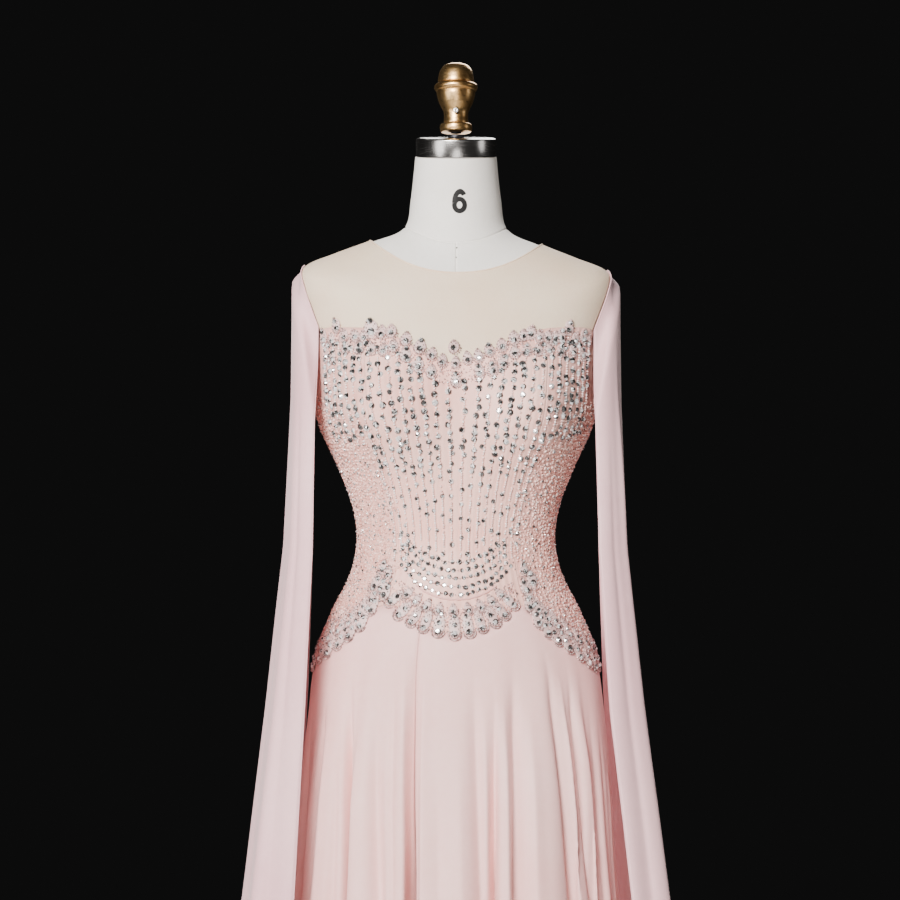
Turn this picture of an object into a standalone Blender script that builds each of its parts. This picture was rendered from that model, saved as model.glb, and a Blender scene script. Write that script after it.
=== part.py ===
# A cape gown on a limbless dress form: sheer yoke, beaded bodice, A-line skirt and split cape sleeves.
# Metres, +Z up, the front faces -Y, +X is the viewer's right. The origin is under the pole, on the floor.
import math
from collections import namedtuple

import bmesh
import bpy
from mathutils import Matrix, Vector

# Driving dimensions
SEAM = 0.0003           # gap left at every seam and under every applied piece
HALF_SEAM = SEAM / 2
EASE_TORSO = 0.0024     # air between form and cloth below the shoulders
EASE_SHOULDER = 0.0012  # air where the gown hangs from the form
FORM_SLIM = 0.0020      # the form is this much slimmer than the gown's own shape below the shoulders
YOKE_WALL = 0.0012
BODICE_WALL = 0.0018
SKIRT_WALL = 0.0014
SLEEVE_WALL = 0.0012
TRIM_LIFT = 0.0008      # applique stands this far off the bodice
TRIM_WALL = 0.0011
EDGING_LIFT = 0.0009
EDGING_WALL = 0.0010
TRIM_DOME = 0.0012      # extra height in the middle of each drop
HEM_Z = 0.010
FOLD_DEPTH = 0.026      # how far the fullest skirt fold stands out at the hem
FOLD_GROWTH = 1.15
GOWN_BUST = 0.034
FORM_BUST = 0.026
BUST_ANGLE = 33.0
BUST_Z = 1.245
BUST_SPREAD_ANGLE = 17.0
BUST_SPREAD_Z = 0.042
SHOULDER_DROP = 0.006   # the shoulder on the viewer's right hangs lower
SHOULDER_REACH = 0.15
SHOULDER_DROP_FOOT = 1.25   # the drop grows from here up
SHOULDER_DROP_RISE = 0.17
PRINCESS_ANGLE = 34.0
ARMHOLE_ANGLE = 64.0    # where the front armhole meets the sweetheart edge
ARMHOLE_ROUND = 2.2     # 1 gives a pointed armhole at the shoulder tip, 2 a round one
FRONT_SEAM_ANGLE = -15.0

NECK_Y = -0.008
CAP_TILT = math.radians(11.5)
CAP_RADIUS = 0.0485
CAP_HEIGHT = 0.023
NECK_TOP_Z = 1.5560
NUT_RADIUS = 0.0105
NUT_HEIGHT = 0.0035
ROD_RADIUS = 0.0065
SCREW_RADIUS = 0.0035
SCREW_Z = 1.6085
SCREW_SEAT = 0.0163
POLE_RADIUS = 0.0125
BASE_RADIUS = 0.170
BASE_HEIGHT = 0.016

# Sections of the body, from the torso's foot up to the neck. Heights and depths differ at front and back.
Ring = namedtuple("Ring", "name side_z half_width front_z front_depth back_z back_depth square")
BODY_RINGS = (
    Ring("foot", 0.800, 0.1600, 0.800, 0.1050, 0.800, 0.1180, 2.10),
    Ring("hip", 0.880, 0.1700, 0.880, 0.1120, 0.880, 0.1260, 2.10),
    Ring("seat", 0.945, 0.1675, 0.945, 0.1090, 0.945, 0.1190, 2.10),
    Ring("high_hip", 1.000, 0.1470, 1.000, 0.0990, 1.000, 0.1030, 2.10),
    Ring("below_waist", 1.045, 0.1245, 1.045, 0.0895, 1.045, 0.0880, 2.10),
    Ring("waist", 1.088, 0.1150, 1.088, 0.0850, 1.088, 0.0810, 2.10),
    Ring("midriff", 1.132, 0.1200, 1.132, 0.0890, 1.132, 0.0850, 2.15),
    Ring("underbust", 1.178, 0.1370, 1.178, 0.0970, 1.178, 0.0940, 2.20),
    Ring("bust", 1.236, 0.1625, 1.240, 0.1080, 1.240, 0.1010, 2.30),
    Ring("armpit", 1.285, 0.1665, 1.290, 0.1080, 1.295, 0.1040, 2.45),
    Ring("chest", 1.335, 0.1710, 1.335, 0.1010, 1.345, 0.1060, 2.50),
    Ring("shoulder_end", 1.400, 0.1870, 1.366, 0.0940, 1.382, 0.1020, 2.45),
    Ring("shoulder_tip", 1.4215, 0.1810, 1.380, 0.0905, 1.399, 0.0970, 2.40),
    Ring("mid_shoulder", 1.4370, 0.1460, 1.394, 0.0850, 1.421, 0.0870, 2.30),
    Ring("neckline", 1.4530, 0.1030, 1.408, 0.0790, 1.445, 0.0730, 2.20),
    Ring("neck_base", 1.4700, 0.0635, 1.444, 0.0600, 1.477, 0.0570, 2.10),
    Ring("neck", 1.5080, 0.0548, 1.492, 0.0580, 1.515, 0.0470, 2.00),
    Ring("neck_top", 1.5700, 0.0485, 1.570, 0.0565, 1.570, 0.0405, 2.00),
)
SKIRT_RINGS = (
    Ring("hem", HEM_Z, 0.2600, HEM_Z, 0.2360, HEM_Z, 0.2680, 2.00),
    Ring("calf", 0.240, 0.2390, 0.240, 0.2030, 0.240, 0.2330, 2.00),
    Ring("knee", 0.460, 0.2140, 0.460, 0.1710, 0.460, 0.1970, 2.05),
    Ring("thigh", 0.660, 0.1920, 0.660, 0.1440, 0.660, 0.1640, 2.05),
    Ring("low_hip", 0.800, 0.1835, 0.800, 0.1260, 0.800, 0.1410, 2.10),
    Ring("hip", 0.880, 0.1765, 0.880, 0.1180, 0.880, 0.1310, 2.10),
)
GOWN_RINGS = SKIRT_RINGS + BODY_RINGS[2:]
FORM_LEVEL = {ring.name: index for index, ring in enumerate(BODY_RINGS)}
GOWN_LEVEL = {ring.name: index for index, ring in enumerate(GOWN_RINGS)}

# Edges of the bodice, by angle from the centre front: height above the floor.
Edge = namedtuple("Edge", "angle height")
BODICE_TOP = (
    Edge(0, 1.299), Edge(8, 1.309), Edge(15, 1.325), Edge(23, 1.336), Edge(34, 1.342), Edge(54, 1.345),
    Edge(64, 1.343), Edge(77, 1.280), Edge(90, 1.245), Edge(103, 1.270), Edge(116, 1.332),
    Edge(134, 1.335), Edge(163, 1.322), Edge(180, 1.316),
)
BODICE_BOTTOM = (
    Edge(0, 0.985), Edge(12, 0.992), Edge(20, 1.003), Edge(27, 1.015), Edge(34, 1.017), Edge(42, 0.994),
    Edge(54, 0.968), Edge(66, 0.950), Edge(78, 0.938), Edge(90, 0.931), Edge(102, 0.938),
    Edge(124, 0.968), Edge(145, 1.000), Edge(163, 0.990), Edge(180, 0.978),
)

# On the viewer's left the basque rises sooner: how much higher its lower edge lies there.
BASQUE_RISE = (
    Edge(0, 0.0), Edge(34, 0.0), Edge(38, 0.010), Edge(43, 0.018), Edge(46, 0.010), Edge(54, 0.0075),
    Edge(78, 0.009), Edge(90, 0.004), Edge(102, 0.0), Edge(180, 0.0),
)

# Skirt folds, all round from the viewer's left: where each ridge or valley lies and how far it stands.
Fold = namedtuple("Fold", "angle stand")
SKIRT_FOLDS = (
    Fold(-90, -0.50), Fold(-79, 0.60), Fold(-68, -0.40), Fold(-54, 0.70), Fold(-41, -1.00), Fold(-34, 0.55),
    Fold(-27, -0.20), Fold(-21, 0.50), Fold(-15, -0.90), Fold(-5, 0.60), Fold(8, -0.20), Fold(15, 0.35),
    Fold(23, -0.45), Fold(34, 0.80), Fold(48, -1.00), Fold(53, 0.35), Fold(58, -0.80), Fold(68, 0.60),
    Fold(79, -0.50), Fold(90, 0.55), Fold(101, -0.70), Fold(112, 0.65), Fold(123, -0.80), Fold(134, 0.70),
    Fold(144, -0.60), Fold(154, 0.80), Fold(163, -0.70), Fold(171, 0.50), Fold(180, -0.60), Fold(190, 0.75),
    Fold(200, -0.80), Fold(210, 0.60), Fold(220, -0.70), Fold(230, 0.80), Fold(239, -0.60), Fold(248, 0.65),
    Fold(270, -0.50),
)
WIDEST_COLUMN = 8.0     # degrees between two columns of a panel

# Rows of points up each panel, as shares of its height; a second value moves a row by a length.
BODICE_ROWS = ((0.0, 0.0), (0.0, 0.015), (0.12, 0.0), (0.23, 0.0), (0.34, 0.0), (0.46, 0.0), (0.58, 0.0),
               (0.69, 0.0), (0.80, 0.0), (0.90, 0.0), (1.0, -0.013), (1.0, 0.0))
SKIRT_ROWS = (1.0, 0.84, 0.68, 0.54, 0.41, 0.29, 0.19, 0.10, 0.016, 0.0)
YOKE_ROWS = (0.0, 0.10, 0.20, 0.29, 0.37, 0.45, 0.55, 0.69, 0.84, 1.0)

# Applique drops in section: share of the way from the plain side to the lobed side, and how domed it is.
TRIM_PROFILE = ((0.0, 0.0), (0.55, 1.0), (1.0, 0.25))
LOBE_STEPS = 3
VALLEY_DOME = 0.35      # the dome between two lobes, as a share of a lobe's own
EDGING_LEVELS = 0.13    # width of the bound neck edge, in ring levels
EDGING_STEPS = 46
EDGING_END = 179.4      # the edging stops here on both sides of the centre back

# A cape sleeve is a C in plan, open toward the body. Each row is one section of it.
SleeveSection = namedtuple("SleeveSection", "height outer front_left front_right back front_depth back_depth")
SLEEVE_SECTIONS = (
    SleeveSection(0.060, 0.3250, 0.2600, 0.2740, 0.2800, 0.1550, 0.1700),
    SleeveSection(0.350, 0.2910, 0.2220, 0.2400, 0.2440, 0.1420, 0.1550),
    SleeveSection(0.653, 0.2550, 0.1880, 0.2050, 0.2080, 0.1280, 0.1380),
    SleeveSection(0.773, 0.2410, 0.1820, 0.1920, 0.1980, 0.1200, 0.1280),
    SleeveSection(0.895, 0.2260, 0.1755, 0.1780, 0.1905, 0.1120, 0.1180),
    SleeveSection(1.084, 0.2055, 0.1675, 0.1665, 0.1830, 0.0980, 0.1000),
    SleeveSection(1.260, 0.1990, 0.1660, 0.1630, 0.1800, 0.0800, 0.0800),
    SleeveSection(1.350, 0.1985, 0.1660, 0.1640, 0.1750, 0.0600, 0.0620),
    SleeveSection(1.430, 0.1985, 0.1720, 0.1720, 0.1750, 0.0450, 0.0500),
)
SLEEVE_FOLDS = (
    Fold(0.00, 0.10), Fold(0.10, -0.50), Fold(0.22, 0.90), Fold(0.34, -0.40), Fold(0.50, 0.60),
    Fold(0.62, -0.70), Fold(0.74, 0.50), Fold(0.86, -0.60), Fold(1.00, 0.20),
)
SLEEVE_FOLD_DEPTH = 0.013
SLEEVE_FOLD_START = 1.30
SLEEVE_FOLD_SPAN = 1.6      # length over which the folds grow to their full depth
SLEEVE_TURN_LOW = 0.11      # the cloth turns from the seam to its hang over this height at the armhole's foot
SLEEVE_TURN_TIP = 0.02      # and over this height at the shoulder tip
SLEEVE_PROBE_DOWN = 0.004
SLEEVE_PROBE_ACROSS = 0.01
SLEEVE_SQUARE = 2.4
SLEEVE_COLUMNS = 24
SLEEVE_ROWS = (0.0, 0.010, 0.028, 0.060, 0.120, 0.220, 0.360, 0.520, 0.750, 1.0)
SLEEVE_LIFT = 0.0009
SLEEVE_SETTLE = 0.25        # the sleeve head comes down from the bodice onto the yoke over this share of it

# The turned knob on the neck, from its top down: radius and height of each corner.
Turn = namedtuple("Turn", "radius height")
FINIAL_PROFILE = (
    Turn(0.0000, 1.6684), Turn(0.0090, 1.6680), Turn(0.0140, 1.6661), Turn(0.0165, 1.6640),
    Turn(0.0196, 1.6593), Turn(0.0210, 1.6544), Turn(0.0218, 1.6490), Turn(0.0220, 1.6455),
    Turn(0.0214, 1.6446), Turn(0.0236, 1.6437), Turn(0.0262, 1.6415), Turn(0.0265, 1.6385),
    Turn(0.0252, 1.6358), Turn(0.0234, 1.6345), Turn(0.0232, 1.6303), Turn(0.0220, 1.6254),
    Turn(0.0205, 1.6206), Turn(0.0180, 1.6158), Turn(0.0156, 1.6112), Turn(0.0147, 1.6080),
    Turn(0.0145, 1.6020), Turn(0.0150, 1.5968), Turn(0.0146, 1.5955), Turn(0.0188, 1.5946),
    Turn(0.0197, 1.5925), Turn(0.0195, 1.5885), Turn(0.0182, 1.5852), Turn(0.0000, 1.5850),
)

SHEER = ((0.80, 0.66, 0.55), 0.60, 0.0)
BLUSH = ((0.80, 0.60, 0.57), 0.55, 0.0)
BEADED = ((0.78, 0.50, 0.45), 0.40, 0.0)
SILVER_BEAD = ((0.72, 0.60, 0.58), 0.30, 0.2)
FORM_CLOTH = ((0.86, 0.83, 0.79), 0.75, 0.0)
BRUSHED_STEEL = ((0.55, 0.55, 0.56), 0.30, 1.0)
OLD_BRASS = ((0.50, 0.33, 0.13), 0.32, 1.0)
STAND_METAL = ((0.12, 0.12, 0.13), 0.45, 1.0)


def smooth(value):
    share = min(max(value, 0.0), 1.0)
    return share * share * (3 - 2 * share)


def spline(rows, level, column):
    """Catmull-Rom through one column of a table, at a fractional row."""
    index = min(max(int(math.floor(level)), 0), len(rows) - 2)
    share = level - index
    before = rows[max(index - 1, 0)][column]
    start = rows[index][column]
    end = rows[index + 1][column]
    after = rows[min(index + 2, len(rows) - 1)][column]
    bend = 2 * before - 5 * start + 4 * end - after
    turn = 3 * (start - end) + after - before
    return start + 0.5 * share * (end - before + share * (bend + share * turn))


def table_at(table, place):
    """Straight line through a table of (place, value) rows."""
    for left, right in zip(table, table[1:]):
        if place <= right[0]:
            return left[1] + (right[1] - left[1]) * (place - left[0]) / (right[0] - left[0])
    return table[-1][1]


def edge_height(table, angle):
    """Height of a bodice edge, the same on both sides but for the basque's rise on the left."""
    signed = (angle + 180) % 360 - 180
    height = table_at(table, abs(signed))
    if table is BODICE_BOTTOM and signed < 0:
        height += table_at(BASQUE_RISE, -signed)
    return height


def stand_at(folds, place):
    """Soft waves through the ridges and valleys of a fold table."""
    for left, right in zip(folds, folds[1:]):
        if place <= right.angle:
            share = smooth((place - left.angle) / (right.angle - left.angle))
            return left.stand + (right.stand - left.stand) * share
    return folds[-1].stand


def skin(rings, level, angle, bust):
    """A point of the body's surface at a fractional ring and an angle from the centre front."""
    _, side_z, half_width, front_z, front_depth, back_z, back_depth, square = (
        [None] + [spline(rings, level, column) for column in range(1, 8)])
    turn = math.radians(angle)
    forward = math.cos(turn)
    sideways = math.sin(turn)
    end_z, depth = (front_z, front_depth) if forward >= 0 else (back_z, back_depth)
    x = half_width * math.copysign(abs(sideways) ** (2 / square), sideways)
    y = -depth * math.copysign(abs(forward) ** (2 / square), forward)
    z = side_z + (end_z - side_z) * forward ** 2
    off_angle = (abs((angle + 180) % 360 - 180) - BUST_ANGLE) / BUST_SPREAD_ANGLE
    off_height = (z - BUST_Z) / BUST_SPREAD_Z
    y -= bust * math.exp(-(off_angle ** 2 + off_height ** 2) / 2)
    if x > 0:
        rise = smooth((z - SHOULDER_DROP_FOOT) / SHOULDER_DROP_RISE)
        z -= SHOULDER_DROP * smooth(x / SHOULDER_REACH) * rise
    return Vector((x, y, z))


def folded(level, angle):
    """The gown's surface with the skirt's folds, before ease and wall."""
    point = skin(GOWN_RINGS, level, angle, GOWN_BUST)
    top = edge_height(BODICE_BOTTOM, angle)
    fall = min(max((top - point.z) / (top - HEM_Z), 0.0), 1.0)
    if fall > 0:
        wrapped = (angle + 90) % 360 - 90
        reach = FOLD_DEPTH * fall ** FOLD_GROWTH * stand_at(SKIRT_FOLDS, wrapped)
        point += Vector((point.x, point.y, 0)).normalized() * reach
    return point


def normal_of(surface, u, v, step_u=0.01, step_v=0.4):
    """Outward direction of a surface, from points a small step away on each side."""
    across = surface(u, v + step_v) - surface(u, v - step_v)
    up = surface(u + step_u, v) - surface(u - step_u, v)
    return across.cross(up).normalized()


def ease_at(level):
    """Air under the gown: least along the shoulders, where it hangs."""
    off_shoulder = abs(level - GOWN_LEVEL["mid_shoulder"] - 0.5)
    return EASE_SHOULDER + (EASE_TORSO - EASE_SHOULDER) * smooth((off_shoulder - 0.6) / 2.5)


def gown(level, angle, out):
    """A point of the gown, standing out from the inside of its cloth."""
    away = normal_of(folded, level, angle)
    return folded(level, angle) + away * (ease_at(level) + out)


def level_at(angle, height):
    """The fractional ring at which the gown's surface has this height."""
    low = 0.0
    high = float(GOWN_LEVEL["neckline"])
    for _ in range(28):
        middle = (low + high) / 2
        if skin(GOWN_RINGS, middle, angle, GOWN_BUST).z < height:
            low = middle
        else:
            high = middle
    return (low + high) / 2


def column_angles(start, end):
    """The shared columns of bodice and skirt: every ridge and valley, and even steps between."""
    angles = []
    for left, right in zip(SKIRT_FOLDS, SKIRT_FOLDS[1:]):
        steps = max(2, math.ceil((right.angle - left.angle) / WIDEST_COLUMN))
        angles += [left.angle + (right.angle - left.angle) * step / steps for step in range(steps)]
    angles.append(SKIRT_FOLDS[-1].angle)
    inside = [angle for angle in angles if start < angle < end]
    return [start] + inside + [end]


def material(name, finish):
    colour, roughness, metallic = finish
    made = bpy.data.materials.new(name)
    made.use_nodes = True
    shader = made.node_tree.nodes["Principled BSDF"]
    shader.inputs["Base Color"].default_value = (*colour, 1.0)
    shader.inputs["Roughness"].default_value = roughness
    shader.inputs["Metallic"].default_value = metallic
    made.diffuse_color = (*colour, 1.0)
    return made


def add_object(name, bm, finish, smooth_under=40.0):
    bmesh.ops.recalc_face_normals(bm, faces=bm.faces[:])
    if bm.calc_volume(signed=True) < 0:
        bmesh.ops.reverse_faces(bm, faces=bm.faces[:])
    mesh = bpy.data.meshes.new(name)
    bm.to_mesh(mesh)
    bm.free()
    mesh.shade_smooth()
    mesh.set_sharp_from_angle(angle=math.radians(smooth_under))
    mesh.materials.append(material(name + "_finish", finish))
    made = bpy.data.objects.new(name, mesh)
    COLLECTION.objects.link(made)
    return made


def pull_in(grid, sides):
    """Moves a grid's edge points toward their neighbours, which leaves half the seam's gap there."""
    rows = [list(row) for row in grid]

    def moved(edge, neighbour):
        return edge + (neighbour - edge).normalized() * HALF_SEAM

    if "left" in sides:
        for row in rows:
            row[0] = moved(row[0], row[1])
    if "right" in sides:
        for row in rows:
            row[-1] = moved(row[-1], row[-2])
    if "bottom" in sides:
        rows[0] = [moved(edge, inner) for edge, inner in zip(rows[0], rows[1])]
    if "top" in sides:
        rows[-1] = [moved(edge, inner) for edge, inner in zip(rows[-1], rows[-2])]
    return rows


def wall(name, inside, outside, finish, sides=("left", "right", "bottom", "top")):
    """A closed cloth wall between two grids of points, from one flat grid that is extruded and shaped."""
    inside = pull_in(inside, sides)
    outside = pull_in(outside, sides)
    across = len(inside[0]) - 1
    up = len(inside) - 1
    bm = bmesh.new()
    mark = bm.verts.layers.int.new("place")
    bmesh.ops.create_grid(bm, x_segments=across, y_segments=up, size=0.5)
    for index, vert in enumerate(bm.verts):
        vert[mark] = index
    lifted = bmesh.ops.extrude_face_region(bm, geom=bm.faces[:])
    outer_verts = {item for item in lifted["geom"] if isinstance(item, bmesh.types.BMVert)}
    for vert in bm.verts:
        row, column = divmod(vert[mark], across + 1)
        vert.co = (outside if vert in outer_verts else inside)[row][column]
    return add_object(name, bm, finish)


def gown_wall(name, places, finish, thickness, lift=0.0, sides=("left", "right", "bottom", "top")):
    """A panel whose places are (level, angle) pairs on the gown, a row at a time, from its lower edge up."""
    inside = [[gown(level, angle, lift) for level, angle in row] for row in places]
    outside = [[gown(level, angle, lift + thickness) for level, angle in row] for row in places]
    return wall(name, inside, outside, finish, sides)


def bodice_panel(name, start, end):
    rows = []
    for share, nudge in BODICE_ROWS:
        row = []
        for angle in column_angles(start, end):
            low = edge_height(BODICE_BOTTOM, angle)
            high = edge_height(BODICE_TOP, angle)
            row.append((level_at(angle, low + (high - low) * share + nudge), angle))
        rows.append(row)
    return gown_wall(name, rows, BEADED, BODICE_WALL)


def skirt_panel(name, start, end):
    rows = []
    for share in SKIRT_ROWS:
        row = []
        for angle in column_angles(start, end):
            top = edge_height(BODICE_BOTTOM, angle)
            row.append((level_at(angle, top + (HEM_Z - top) * share), angle))
        rows.append(row)
    return gown_wall(name, rows, BLUSH, SKIRT_WALL)


def armhole_angle(level, low_level, low_angle):
    """How far round the yoke reaches at a level: out to the shoulder's ridge above the shoulder tip."""
    share = min(max((level - low_level) / (GOWN_LEVEL["shoulder_tip"] - low_level), 0.0), 1.0)
    return 90 - (90 - low_angle) * (1 - share) ** (1 / ARMHOLE_ROUND)


def yoke_rows(angles, end_angle):
    """Rows from the bodice's top edge to the neckline. The columns spread out to the shoulder ridge."""
    neckline = GOWN_LEVEL["neckline"]
    end_level = level_at(end_angle, edge_height(BODICE_TOP, end_angle))
    rows = []
    for share in YOKE_ROWS:
        edge_level = end_level + (neckline - end_level) * share
        reach = armhole_angle(edge_level, end_level, min(end_angle, 180 - end_angle))
        row = []
        for angle in angles:
            if end_angle < 90:
                turned = angle * reach / end_angle
            else:
                signed = (angle + 180) % 360 - 180
                middle = math.copysign(180 - abs(signed), signed)
                turned = math.copysign(180, signed) - middle * reach / (180 - end_angle)
            low = level_at(angle, edge_height(BODICE_TOP, angle))
            row.append((low + (neckline - low) * share, turned))
        rows.append(row)
    return rows


def build_yoke():
    front = column_angles(-ARMHOLE_ANGLE, ARMHOLE_ANGLE)
    gown_wall("yoke_front", yoke_rows(front, ARMHOLE_ANGLE), SHEER, YOKE_WALL)
    back_end = 180 - ARMHOLE_ANGLE
    right = column_angles(back_end, 180)[:-1] + [179.999]
    left = [-angle for angle in reversed(right)]
    gown_wall("yoke_back_right", yoke_rows(right, back_end), SHEER, YOKE_WALL)
    gown_wall("yoke_back_left", yoke_rows(left, back_end), SHEER, YOKE_WALL)


def build_neckline_edging():
    """A bound edge 4 mm wide, open at the centre back."""
    neckline = GOWN_LEVEL["neckline"]
    angles = [EDGING_END * (2 * step / EDGING_STEPS - 1) for step in range(EDGING_STEPS + 1)]
    rows = [[(neckline - EDGING_LEVELS, angle) for angle in angles],
            [(neckline, angle) for angle in angles]]
    gown_wall("neckline_edging", rows, SHEER, EDGING_WALL, lift=YOKE_WALL + EDGING_LIFT, sides=())


def scalloped_trim(name, start, end, lobes, edge, inset, valley, peak):
    """Applique of drops along a bodice edge: inset is its plain side, valley and peak its lobed side."""
    steps = lobes * LOBE_STEPS
    lift = BODICE_WALL + TRIM_LIFT
    inside = []
    outside = []
    for share, dome in TRIM_PROFILE:
        inner_row = []
        outer_row = []
        for step in range(steps + 1):
            angle = start + (end - start) * step / steps
            lobe = abs(math.sin(math.pi * step / LOBE_STEPS))
            reach = valley + (peak - valley) * lobe
            height = edge_height(edge, angle) + inset + (reach - inset) * share
            level = level_at(angle, height)
            rise = TRIM_WALL + TRIM_DOME * dome * (VALLEY_DOME + (1 - VALLEY_DOME) * lobe)
            inner_row.append(gown(level, angle, lift))
            outer_row.append(gown(level, angle, lift + rise))
        inside.append(inner_row)
        outside.append(outer_row)
    if inset > peak:
        inside.reverse()
        outside.reverse()
    return wall(name, inside, outside, SILVER_BEAD, sides=())


def build_trims():
    scalloped_trim("sweetheart_trim", -61.0, 61.0, 25, BODICE_TOP, -0.011, 0.001, 0.0085)
    scalloped_trim("waist_fan_trim", -31.0, 31.0, 11, BODICE_BOTTOM, 0.013, -0.001, -0.010)
    scalloped_trim("basque_trim_left", -145.0, -35.5, 14, BODICE_BOTTOM, 0.012, -0.001, -0.009)
    scalloped_trim("basque_trim_right", 35.5, 145.0, 14, BODICE_BOTTOM, 0.012, -0.001, -0.009)


def section_at(height, column):
    """One size of the sleeve's section at a height."""
    table = [(row.height, row[column]) for row in SLEEVE_SECTIONS]
    return table_at(table, height)


def sleeve_seam(side, across):
    """The set-in seam: up the front armhole, over the shoulder tip and down the back armhole."""
    low_angle = ARMHOLE_ANGLE if across < 0.5 else 180 - ARMHOLE_ANGLE
    low_level = level_at(low_angle, edge_height(BODICE_TOP, low_angle))
    tip = GOWN_LEVEL["shoulder_tip"]
    angle = ARMHOLE_ANGLE + (180 - 2 * ARMHOLE_ANGLE) * across
    level = tip - (tip - low_level) * abs(2 * across - 1) ** ARMHOLE_ROUND
    settled = smooth((1 - abs(2 * across - 1)) / SLEEVE_SETTLE)
    under = BODICE_WALL + (YOKE_WALL - BODICE_WALL) * settled
    return gown(level, side * angle, under + SLEEVE_LIFT)


def sleeve_point(side, across, down):
    """The inside of a cape sleeve: across runs from front edge to back edge, down from seam to hem."""
    seam = sleeve_seam(side, across)
    hem = SLEEVE_SECTIONS[0].height
    z = seam.z + (hem - seam.z) * down
    turn = math.pi * across
    outer = section_at(z, 1)
    in_front = across < 0.5
    inner = section_at(z, (2 if side < 0 else 3) if in_front else 4)
    depth = section_at(z, 5 if in_front else 6)
    x = inner + (outer - inner) * abs(math.sin(turn)) ** (2 / SLEEVE_SQUARE)
    y = -depth * math.copysign(abs(math.cos(turn)) ** (2 / SLEEVE_SQUARE), math.cos(turn))
    fall = smooth((SLEEVE_FOLD_START - z) / SLEEVE_FOLD_SPAN) * SLEEVE_FOLD_SPAN
    bulge = SLEEVE_FOLD_DEPTH * fall * stand_at(SLEEVE_FOLDS, across)
    x += bulge * math.sin(turn)
    y -= bulge * math.cos(turn)
    near_tip = 1 - abs(2 * across - 1)
    turn_over = SLEEVE_TURN_LOW + (SLEEVE_TURN_TIP - SLEEVE_TURN_LOW) * near_tip
    hang = smooth((seam.z - z) / turn_over)
    hanging = Vector((side * x, y, z))
    return hanging * hang + Vector((seam.x, seam.y, z)) * (1 - hang)


def build_sleeve(name, side):
    def surface(down, across):
        return sleeve_point(side, across, down)

    inside = []
    outside = []
    for down in reversed(SLEEVE_ROWS):
        inner_row = []
        outer_row = []
        for step in range(SLEEVE_COLUMNS + 1):
            across = step / SLEEVE_COLUMNS
            point = surface(down, across)
            probe_down = min(max(down, SLEEVE_PROBE_DOWN), 1 - SLEEVE_PROBE_DOWN)
            probe_across = min(max(across, SLEEVE_PROBE_ACROSS), 1 - SLEEVE_PROBE_ACROSS)
            away = normal_of(surface, probe_down, probe_across, SLEEVE_PROBE_DOWN, SLEEVE_PROBE_ACROSS)
            away *= -side
            inner_row.append(point)
            outer_row.append(point + away * SLEEVE_WALL)
        inside.append(inner_row)
        outside.append(outer_row)
    wall(name, inside, outside, BLUSH, sides=())


def turned(name, profile, finish, segments, centre):
    """A turned piece: its profile runs down the outer side and is spun about the piece's own axis."""
    bm = bmesh.new()
    verts = [bm.verts.new((centre.x + row.radius, centre.y, row.height)) for row in profile]
    edges = [bm.edges.new(pair) for pair in zip(verts, verts[1:])]
    bmesh.ops.spin(bm, geom=verts + edges, cent=centre, axis=(0, 0, 1), angle=math.tau, steps=segments,
                   use_merge=True)
    bmesh.ops.remove_doubles(bm, verts=bm.verts[:], dist=0.00005)
    return add_object(name, bm, finish)


def cylinder(name, radius, height, matrix, finish, segments=24, bevel=0.0):
    """A disc or rod whose foot stands on the matrix's origin."""
    bm = bmesh.new()
    bmesh.ops.create_cone(bm, cap_ends=True, segments=segments, radius1=radius, radius2=radius, depth=height)
    if bevel:
        rims = [edge for edge in bm.edges if abs(edge.verts[0].co.z - edge.verts[1].co.z) < height / 2]
        bmesh.ops.bevel(bm, geom=rims, offset=bevel, affect="EDGES", segments=1, profile=0.5)
    bmesh.ops.translate(bm, verts=bm.verts[:], vec=(0, 0, height / 2))
    bmesh.ops.transform(bm, matrix=matrix, verts=bm.verts[:])
    return add_object(name, bm, finish)


def build_form():
    """Torso and neck in one closed solid, cut level at its foot and on the tilt of the neck plate."""
    columns = 40
    levels = [FORM_LEVEL["foot"] + step * 0.5 for step in range(4)]
    levels += list(range(2, 9)) + [8.5, 9, 10, 11, 11.5, 12, 13, 14, 15, 16, 17]

    def body(level, angle):
        return skin(BODY_RINGS, level, angle, FORM_BUST)

    bm = bmesh.new()
    bmesh.ops.create_grid(bm, x_segments=columns, y_segments=len(levels) - 1, size=0.5)
    for index, vert in enumerate(bm.verts):
        row, column = divmod(index, columns + 1)
        angle = 360.0 * (column % columns) / columns
        level = levels[row]
        slim = FORM_SLIM * smooth((FORM_LEVEL["shoulder_tip"] - level) / 1.5)
        vert.co = body(level, angle) - normal_of(body, level, angle) * slim
    bmesh.ops.remove_doubles(bm, verts=bm.verts[:], dist=0.00001)
    plate_up = Matrix.Rotation(CAP_TILT, 3, "X") @ Vector((0, 0, 1))
    bmesh.ops.bisect_plane(bm, geom=bm.verts[:] + bm.edges[:] + bm.faces[:], dist=0.00001,
                           plane_co=(0, NECK_Y, NECK_TOP_Z), plane_no=plate_up, clear_outer=True)
    bmesh.ops.holes_fill(bm, edges=[edge for edge in bm.edges if edge.is_boundary], sides=0)
    add_object("form_body", bm, FORM_CLOTH)


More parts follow.
